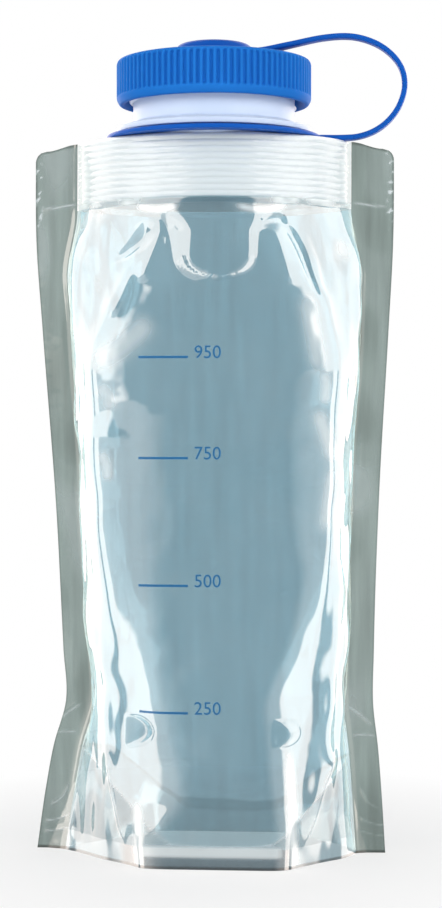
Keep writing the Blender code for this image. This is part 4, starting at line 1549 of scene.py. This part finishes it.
@dataclass
class Tether:
    """The one-piece blue tether: ring, looped strap and disc. Lengths are in millimetres."""

    thickness: float = 2.0
    # Width of the strap along its run, and at the ring and the disc
    width: float = 5.0
    root_width: float = 8.0
    rings_per_point: int = 24
    # X from the neck's axis and height along the strap's middle line, from the ring to the disc
    route: tuple[tuple[float, float], ...] = (
        (35.2, 249.7), (37.8, 249.7), (44.0, 249.7), (50.5, 250.2), (56.2, 252.2), (61.0, 255.8),
        (64.6, 260.9), (66.4, 267.3), (65.4, 273.4), (61.8, 278.5), (56.0, 282.5), (48.0, 284.8),
        (38.3, 284.5), (26.5, 282.2), (17.0, 280.3), (11.0, 280.1),
    )
    # The ring's section, and the disc's under its dome: radius, height and rounding
    ring: tuple[tuple[float, float, float], ...] = (
        (29.2, 249.6, 0), (29.2, 249.2, 0.3), (35.8, 249.0, 0.6), (37.4, 248.9, 0.7), (37.4, 250.5, 0.75),
        (29.2, 250.2, 0.3), (29.2, 249.6, 0),
    )
    disc: tuple[tuple[float, float], ...] = (
        (0, 280.7), (5.3, 280.7), (5.3, 277.4), (12.6, 277.4), (13.0, 277.6), (13.2, 278.2),
    )
    # Radius of the dome, the height of its rim, and how far it rises
    dome_radius: float = 13.2
    dome_foot: float = 279.8
    dome_rise: float = 3.4

    def strap(self, name: str, first: float, last: float) -> bpy.types.Object:
        """The strap between two places of its route.

        A rounded rectangle, |a/w|⁴ + |b/t|⁴ = 1, is carried along the route's smooth curve.

        Args:
            name: Name of the new object.
            first: Where it starts, counted in points of the route.
            last: Where it ends.

        Returns:
            The new object, closed at both ends.
        """
        knots = np.arange(len(self.route), dtype=float)
        route = np.array(self.route)
        at = np.linspace(first, last, int(self.rings_per_point * (last - first)))
        here = np.stack([smooth_curve(at, knots, route[:, i]) for i in (0, 1)], 1)
        ahead = np.gradient(here, axis=0)
        ahead /= np.linalg.norm(ahead, axis=1, keepdims=True)
        normal = np.stack([-ahead[:, 1], ahead[:, 0]], 1)
        end = len(self.route) - 1
        near_end = 1 - smooth_step((np.minimum(at, end - at) - 1) / 2)
        half_width = (self.width + (self.root_width - self.width) * near_end) / 2
        around = np.linspace(0, 2 * math.pi, 28, endpoint=False)
        cosine, sine = np.cos(around), np.sin(around)
        across = np.sign(cosine) * np.abs(cosine) ** 0.5 * half_width[:, None]
        up = np.sign(sine) * np.abs(sine) ** 0.5 * self.thickness / 2
        up = np.repeat(up[None, :], len(at), 0)
        x = here[:, :1] + normal[:, :1] * up
        z = here[:, 1:] + normal[:, 1:] * up
        grid = np.stack([x, across, z], -1) * MM
        grid[..., 0] += AXIS_X
        return surface(name, capped(grid), wrap=True)

    def snap_disc(self) -> bpy.types.Object:
        """Builds the disc, whose dome has r = R sin(a)^0.55 and rises by H cos(a)^0.5."""
        dome = [
            (self.dome_radius * math.sin(a) ** 0.55, self.dome_foot + self.dome_rise * math.cos(a) ** 0.5)
            for a in np.linspace(0, math.pi / 2, 24)[::-1]
        ]
        return turned("snap_disc", np.array([*self.disc, *dome]) * MM, 160, closed=False)

    def build(self, deep: bpy.types.Material) -> None:
        """Builds and dresses the ring, the strap's three pieces and the disc.

        Args:
            deep: Finish of them all.
        """
        ring = turned("swivel_ring", rounded(self.ring)[:-1], 288, closed=True)
        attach(ring, "ring")
        dress(ring, "strap_blue", "tether_ring", deep)
        disc = self.snap_disc()
        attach(disc, "tether_head")
        dress(disc, "strap_blue", "tether_disc", deep)
        root = self.strap("strap_root", 0.0, 2.7)
        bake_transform(root)
        dress(root, "strap_blue", "tether_root", deep)
        lower = self.strap("strap_lower_bend", 2.7, 7.0)
        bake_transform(lower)
        dress(lower, "strap_blue", "tether_loop", deep)
        upper = self.strap("strap_upper_bend", 7.0, 15.0)
        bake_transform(upper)
        dress(upper, "strap_blue", "tether_arm", deep)


@dataclass
class FloorFilm:
    """The folded floor film between the two walls. Lengths are in metres."""

    wall: Wall
    # Height of its arch, and how far inside the walls' outer faces it ends
    rise: float = 10.0 * MM
    inset: float = 1.2 * MM
    film: float = 0.35 * MM
    # X of its middle, and half its length
    middle: float = 0.3 * MM
    half_length: float = 48.0 * MM
    # The wall's depth is read between these places
    left: float = -43.0 * MM
    right: float = 44.0 * MM
    crumples: Ripple = Ripple(90, 14 * MM, 40 * MM, 0.9 * MM)

    def build(self, clear: bpy.types.Material, inner: bpy.types.Material) -> None:
        """Builds and dresses the floor.

        Its long edges follow the weld lines on both walls. Between them it arches up by
        rise * (1 - |v|^1.4), with v from -1 at the front to 1 at the back.

        Args:
            clear: Finish of its upper face.
            inner: Finish of its lower face.
        """
        u, v = np.meshgrid(np.linspace(-1, 1, 121), np.linspace(-1, 1, 61))
        x = self.middle + self.half_length * u
        edge = self.wall.weld_line(x) + 0.5 * MM
        depth = self.wall.depth_at(np.clip(x, self.left, self.right), edge)
        depth = np.maximum(depth - self.inset, 0.4 * MM)
        taper = smooth_step((1 - np.abs(u)) / 0.2)
        arch = (1 - np.abs(v) ** 1.4) * (1 - np.abs(u) ** 3)
        crumple = self.crumples.read(x, v * 30 * MM)
        z = edge + self.rise * arch + crumple * taper * (1 - v ** 2)
        grid = np.stack([x + AXIS_X, v * depth * (0.1 + 0.9 * taper), z], -1)
        plain = np.zeros(x.shape)
        piece = film_shell("folded_floor", grid, self.film, {"weld": plain, "crease": plain})
        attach(piece, "bottle")
        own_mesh(piece)
        dress(piece, "clear_film", "bottom_gusset", clear, inner)


@dataclass
class Scale:
    """The printed volume scale on the front wall: short lines with plain numbers.

    Lengths are in millimetres.
    """

    wall: Wall
    # What each mark says, and its height
    marks: tuple[tuple[str, float], ...] = (("950", 173.0), ("750", 139.0), ("500", 96.0), ("250", 53.0))
    left: float = -23.2
    length: float = 16.8
    # Thickness of a line, half its height, and how far it and a number stand off the film
    ink: float = 0.03
    line_half: float = 0.4
    line_off: float = 0.04
    number_off: float = 0.05
    number_height: float = 6.2
    # Part of the wall that is read, and the distance of its rows
    low: float = 30.0
    high: float = 200.0
    step: float = 0.5

    def lay(self, face: np.ndarray, x: np.ndarray, z: np.ndarray) -> np.ndarray:
        """Reads where flat print meets the wall's outer face.

        Args:
            face: The wall's points, in rows from low to high.
            x: Distances of the print from the neck's axis in metres.
            z: Its heights in metres.

        Returns:
            Y in metres.
        """
        row = np.clip(np.rint((z - self.low * MM) / (self.step * MM)).astype(int), 0, len(face) - 1)
        skipped = 3 * self.wall.span_columns
        middle = face[:, skipped:-skipped]
        return read_rows(x + AXIS_X, row, middle[..., 0], middle[..., 1])

    def line(self, label: str, z: float, face: np.ndarray) -> bpy.types.Object:
        """Prints a line on the wall.

        Args:
            label: What its number says.
            z: Height of its middle.
            face: The wall's points.

        Returns:
            The new object.
        """
        across = np.linspace(self.left, self.left + self.length, 40) * MM
        x, height = np.meshgrid(across, np.array([-self.line_half, self.line_half]) * MM)
        height = height + z * MM
        y = self.lay(face, x, height) - self.line_off * MM
        grid = np.stack([x + AXIS_X, y, height], -1)
        return film_shell(f"scale_line_{label}", grid, self.ink * MM, {})

    def number(self, label: str, z: float, face: np.ndarray) -> bpy.types.Object:
        """Prints a number beside its line.

        Args:
            label: What it says.
            z: Height of its line.
            face: The wall's points.

        Returns:
            The new object.
        """
        text = bpy.data.curves.new(f"scale_number_{label}", "FONT")
        text.body = label
        text.size = self.number_height * MM
        text.extrude = 0.01 * MM
        text.resolution_u = 4
        holder = bpy.data.objects.new("scale_number_holder", text)
        bpy.context.scene.collection.objects.link(holder)
        placed = holder.evaluated_get(bpy.context.evaluated_depsgraph_get())
        mesh = bpy.data.meshes.new_from_object(placed)
        bpy.data.objects.remove(holder)
        at = np.empty(3 * len(mesh.vertices))
        mesh.vertices.foreach_get("co", at)
        at = at.reshape(-1, 3)
        x = at[:, 0] + (self.left + self.length + 2.0) * MM
        height = at[:, 1] + (z - self.line_half) * MM
        y = self.lay(face, x, height) - self.number_off * MM - at[:, 2]
        mesh.vertices.foreach_set("co", np.stack([x + AXIS_X, y, height], -1).ravel())
        number = bpy.data.objects.new(f"scale_number_{label}", mesh)
        bpy.context.scene.collection.objects.link(number)
        return number

    def build(self, ink: bpy.types.Material) -> None:
        """Prints every line and number.

        Args:
            ink: Finish of the print.
        """
        rows = int(round((self.high - self.low) / self.step)) + 1
        face, _ = self.wall.points(np.linspace(self.low * MM, self.high * MM, rows))
        for label, z in self.marks:
            for piece in (self.line(label, z, face), self.number(label, z, face)):
                piece.data.materials.clear()
                piece.data.materials.append(ink)
                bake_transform(piece)
                LOG.info("%s: %d faces", piece.name, len(piece.data.polygons))


@dataclass
class Studio:
    """Floor, lights and camera.

    Lights are placed in degrees round the bottle, 0 in front of it and 90 to the right.
    """

    # The camera: distance and height in metres, its way round to the right, and how it is turned and tipped
    distance: float = 0.725
    height: float = 157.2 * MM
    turn: float = math.radians(4.4)
    focal: float = 81.9
    aside: float = math.radians(0.194)
    pitch: float = math.radians(-1.386)
    # Degrees and the strength there, of light that comes level or from below, and of light from above
    low_lights: tuple[tuple[float, float], ...] = (
        (-180, 1.0), (-162, 1.0), (-155, 4.5), (-88, 4.5), (-85, 0.5), (-73, 0.5), (-70, 4.9), (-46, 4.9),
        (-42, 1.8), (-22, 1.4), (-8, 0.25), (10, 0.2), (26, 1.0), (49, 1.2), (53, 4.9), (79, 4.9),
        (82, 0.5), (92, 0.5), (96, 4.5), (160, 4.5), (168, 1.0), (180, 1.0),
    )
    high_lights: tuple[tuple[float, float], ...] = (
        (-180, 1.0), (-162, 1.0), (-155, 4.5), (-92, 4.5), (-84, 4.2), (-27, 4.2), (-24, 0.3), (0, 0.25),
        (30, 0.3), (33, 4.2), (88, 4.2), (96, 4.5), (160, 4.5), (168, 1.0), (180, 1.0),
    )
    # Top of the ramp that holds those strengths, and the colour of all mirrored light
    full: float = 5.0
    warm: tuple[float, float, float, float] = (1.0, 0.88, 0.8, 1.0)
    # Even light on matt surfaces, and the strength of the ceiling in mirrors
    surround: float = 0.31
    ceiling: float = 0.8
    # How steep a ray is where low lights give way to high ones, and where the walls do to the ceiling
    low_to_high: tuple[float, float] = (0.022, 0.029)
    walls_to_ceiling: tuple[float, float] = (0.75, 0.95)
    # The floor's grey, the distances between which the camera sees it fade, and how white it is before
    floor_grey: float = 0.93
    fade: tuple[float, float] = (0.06, 0.17)
    fade_start: float = 0.55
    # The share of low light that the floor shows in mirrors, under the object and beyond a distance
    carried: tuple[float, float] = (0.6, 0.95)
    carried_reach: float = 0.03

    def camera(self) -> None:
        """Places the camera where the photograph was taken from."""
        data = bpy.data.cameras.new("camera")
        data.sensor_fit = "VERTICAL"
        data.sensor_height = 36.0
        data.lens = self.focal
        data.clip_start = 0.02
        camera = bpy.data.objects.new("camera", data)
        bpy.context.scene.collection.objects.link(camera)
        camera.location = (
            AXIS_X + self.distance * math.sin(self.turn), -self.distance * math.cos(self.turn), self.height
        )
        camera.rotation_euler = (math.pi / 2 + self.pitch, 0.0, self.turn - self.aside)
        bpy.context.scene.camera = camera

    def light_round(
        self, tree: bpy.types.NodeTree, place: bpy.types.NodeSocket, stops: tuple[tuple[float, float], ...]
    ) -> bpy.types.NodeSocket:
        """Adds nodes that give the light of the studio's walls in each direction round the bottle.

        Args:
            tree: Node tree of the world or the floor.
            place: The direction of the ray.
            stops: Angles in degrees and the strength at each.

        Returns:
            The strength's socket.
        """
        apart = add_node(tree, "SeparateXYZ", {0: place})
        ahead = add_node(tree, "Math", {0: apart.outputs["Y"], 1: -1.0}, operation="MULTIPLY")
        turn = add_node(tree, "Math", {0: apart.outputs["X"], 1: ahead.outputs[0]}, operation="ARCTAN2")
        share = add_node(tree, "MapRange", {"Value": turn.outputs[0], 1: -math.pi, 2: math.pi})
        ramp = add_node(tree, "ValToRGB", {"Fac": share.outputs[0]})
        elements = ramp.color_ramp.elements
        for index, (angle, strength) in enumerate(stops):
            position = (angle + 180) / 360
            element = elements[index] if index < 2 else elements.new(position)
            element.position = position
            element.color = (strength / self.full,) * 3 + (1.0,)
        raised = add_node(tree, "Math", {0: ramp.outputs["Color"], 1: self.full}, operation="MULTIPLY")
        return raised.outputs[0]

    def floor(self) -> None:
        """Lays a large pale floor.

        The camera sees it fade to white away from the object, whose soft shadow it keeps. In mirrors it
        carries the low lights on, so that no horizon shows.
        """
        x, y = np.meshgrid([-4.0, 4.0], [-4.0, 4.0])
        points = np.stack([x, y, np.zeros(x.shape)], -1)
        floor = surface("floor", points)
        floor.location.z = -0.1 * MM
        material, tree = new_material("floor_white", empty=True)
        place = add_node(tree, "TexCoord").outputs["Object"]
        coming = add_node(tree, "NewGeometry").outputs["Incoming"]
        going = add_node(tree, "VectorMath", {0: coming, 3: -1.0}, operation="SCALE").outputs[0]
        away = add_node(tree, "VectorMath", {0: place}, operation="LENGTH").outputs["Value"]
        near, far = self.fade
        fade = add_node(tree, "MapRange", {"Value": away, 1: near, 2: far, 3: self.fade_start, 4: 1.0})
        ray = add_node(tree, "LightPath")
        seen_by, mirrored_in = ray.outputs["Is Camera Ray"], ray.outputs["Is Glossy Ray"]
        seen = add_node(tree, "Math", {0: seen_by, 1: fade.outputs[0]}, operation="MULTIPLY")
        matt = add_node(tree, "BsdfDiffuse", {"Color": (self.floor_grey,) * 3 + (1.0,)})
        white = add_node(tree, "Emission", {"Color": (1, 1, 1, 1), "Strength": 1.0})
        both = add_node(tree, "MixShader", {0: seen.outputs[0], 1: matt.outputs[0], 2: white.outputs[0]})
        round_light = self.light_round(tree, going, self.low_lights)
        mirrored = add_node(tree, "Emission", {"Color": self.warm, "Strength": round_light})
        under, beyond = self.carried
        limits = {1: 0.0, 2: self.carried_reach, 3: under, 4: beyond}
        carried = add_node(tree, "MapRange", {"Value": away, **limits})
        share = add_node(tree, "Math", {0: mirrored_in, 1: carried.outputs[0]}, operation="MULTIPLY")
        final = add_node(tree, "MixShader", {0: share.outputs[0], 1: both.outputs[0], 2: mirrored.outputs[0]})
        add_node(tree, "OutputMaterial", {"Surface": final.outputs[0]})
        floor.data.materials.append(material)

    def world(self) -> None:
        """Builds the surround: white to the camera, softboxes and dark gaps in mirrors, even otherwise."""
        world = bpy.data.worlds.new("surround")
        bpy.context.scene.world = world
        world.use_nodes = True
        tree = world.node_tree
        tree.nodes.clear()
        direction = add_node(tree, "TexCoord").outputs["Generated"]
        low = self.light_round(tree, direction, self.low_lights)
        high = self.light_round(tree, direction, self.high_lights)
        apart = add_node(tree, "SeparateXYZ", {0: direction})
        low_end, high_start = self.low_to_high
        up = add_node(tree, "MapRange", {"Value": apart.outputs["Z"], 1: low_end, 2: high_start})
        gloss = add_node(tree, "Mix", {"Factor": up.outputs[0], 2: low, 3: high})
        wall_end, roof_start = self.walls_to_ceiling
        over = add_node(tree, "MapRange", {"Value": apart.outputs["Z"], 1: wall_end, 2: roof_start})
        roofed = add_node(tree, "Mix", {"Factor": over.outputs[0], 2: gloss.outputs[0], 3: self.ceiling})
        ray = add_node(tree, "LightPath")
        seen_by, mirrored_in = ray.outputs["Is Camera Ray"], ray.outputs["Is Glossy Ray"]
        plain = add_node(tree, "MapRange", {"Value": seen_by, 3: self.surround, 4: 1.0})
        strength = add_node(tree, "Mix", {"Factor": mirrored_in, 2: plain.outputs[0], 3: roofed.outputs[0]})
        hue = add_node(tree, "Mix", {"Factor": mirrored_in, 6: (1, 1, 1, 1), 7: self.warm}, data_type="RGBA")
        back = add_node(tree, "Background", {"Color": hue.outputs[2], "Strength": strength.outputs[0]})
        add_node(tree, "OutputWorld", {"Surface": back.outputs[0]})

    def softbox(
        self, name: str, azimuth: float, height: float, distance: float, size: tuple[float, float],
        power: float,
    ) -> None:
        """Adds an area lamp that faces the bottle, and that neither the camera nor a mirror sees.

        Args:
            name: Name of the lamp.
            azimuth: Direction from the bottle in degrees.
            height: Height of its middle in metres.
            distance: Distance from the bottle in metres.
            size: Width and height in metres.
            power: Watts.
        """
        data = bpy.data.lights.new(name, "AREA")
        data.shape = "RECTANGLE"
        data.size, data.size_y = size
        data.energy = power
        lamp = bpy.data.objects.new(name, data)
        bpy.context.scene.collection.objects.link(lamp)
        angle = math.radians(azimuth)
        lamp.location = (distance * math.sin(angle), -distance * math.cos(angle), height)
        aim = Vector((0, 0, 0.14)) - lamp.location
        lamp.rotation_euler = aim.to_track_quat("-Z", "Y").to_euler()
        lamp.visible_camera = False
        lamp.visible_glossy = False

    def build(self) -> None:
        """Builds the whole stage."""
        bpy.context.scene.view_settings.view_transform = "Standard"
        self.camera()
        self.floor()
        self.world()
        self.softbox("left_softbox", -55, 0.45, 1.0, (0.8, 1.0), 5.3)
        self.softbox("right_softbox", 60, 0.45, 1.0, (0.8, 1.0), 5.0)
        self.softbox("top_softbox", 170, 1.2, 0.8, (1.0, 0.8), 1.8)
        self.softbox("front_softbox", 8, 0.75, 1.2, (0.8, 0.5), 5.4)


def main() -> None:
    """Builds every piece and says what was made."""
    logging.basicConfig(level=logging.INFO)
    Studio().build()
    # Laminate of clear polyester and polyethylene, cast and rolled flat: a cool tint and faint streaks
    clear = Film("clear_film", "#B3CED8", "#A6BCC4", 0.05, 0.04).material()
    # Two layers of it fused between hot bars: greyer, with streaks drawn by the bars
    welded = Film("welded_film", "#8F9F9B", "#8F9F9B", 0.05, 0.14).material()
    # The hem, with the floor film fused in: clear where one layer shows, blue-grey where it is pressed
    hem = Film("hem_film", "#B3CED8", "#70858F", 0.04, 0.04, weld_mirror=0.16).material()
    # The floor film, seen through the walls, which have tinted its light already
    floor = Film("floor_film", "#F3F7F8", "#F3F7F8", 0.01, mirror=0.03, grazing=0.2).material()
    # Film fused to the boat: it lies so close that hardly a mirror or a haze is left
    wet = Film("boat_film", "#F4F7F7", "#B3CED8", 0.02, mirror=0.03).material()
    inner = InnerFace().material()
    # Polyethylene without pigment, injection moulded: a soft white that lets a little light in
    white = Moulding("natural_polyethylene", "#EAEEF0", "#E0E6EC", 0.35, 0.15).material()
    # The same moulding above the boat as a darker, bluer copy: painted shade under the cap, and painted blue
    # light from the cap and the ring
    shaded = Moulding("polyethylene_painted_shade", "#CFDDF1", "#C7D6EC", 0.4, 0.15, gloss=0.3).material()
    # Pigmented polypropylene from a spark eroded mould: an even mid blue with hardly a shine
    blue = Moulding("cap_polypropylene", "#2274CA", "#1E6CC2", 0.5, gloss=0.03).material()
    # A softer grade for the strap: a deeper blue, and a little smoother
    deep = Moulding("strap_polypropylene", "#1559B6", "#1251AA", 0.36, gloss=0.06).material()
    outline = Outline()
    front = Wall(Side.FRONT, outline, FRONT_FOLDS, 3, Tongue())
    back = Wall(Side.BACK, outline, (), 13)
    for wall in (front, back):
        wall.build(clear, hem, inner)
    for side in Side:
        BoatFilm(side).build(wet, inner)
    for sign in (-1, 1):
        SideSeal(sign, outline).build(welded, inner)
    FloorFilm(front).build(floor, inner)
    NeckFitting().build(white, shaded)
    ScrewCap().build(blue)
    Tether().build(deep)
    Scale(front).build(Ink().material())


if __name__ == "__main__":
    main()
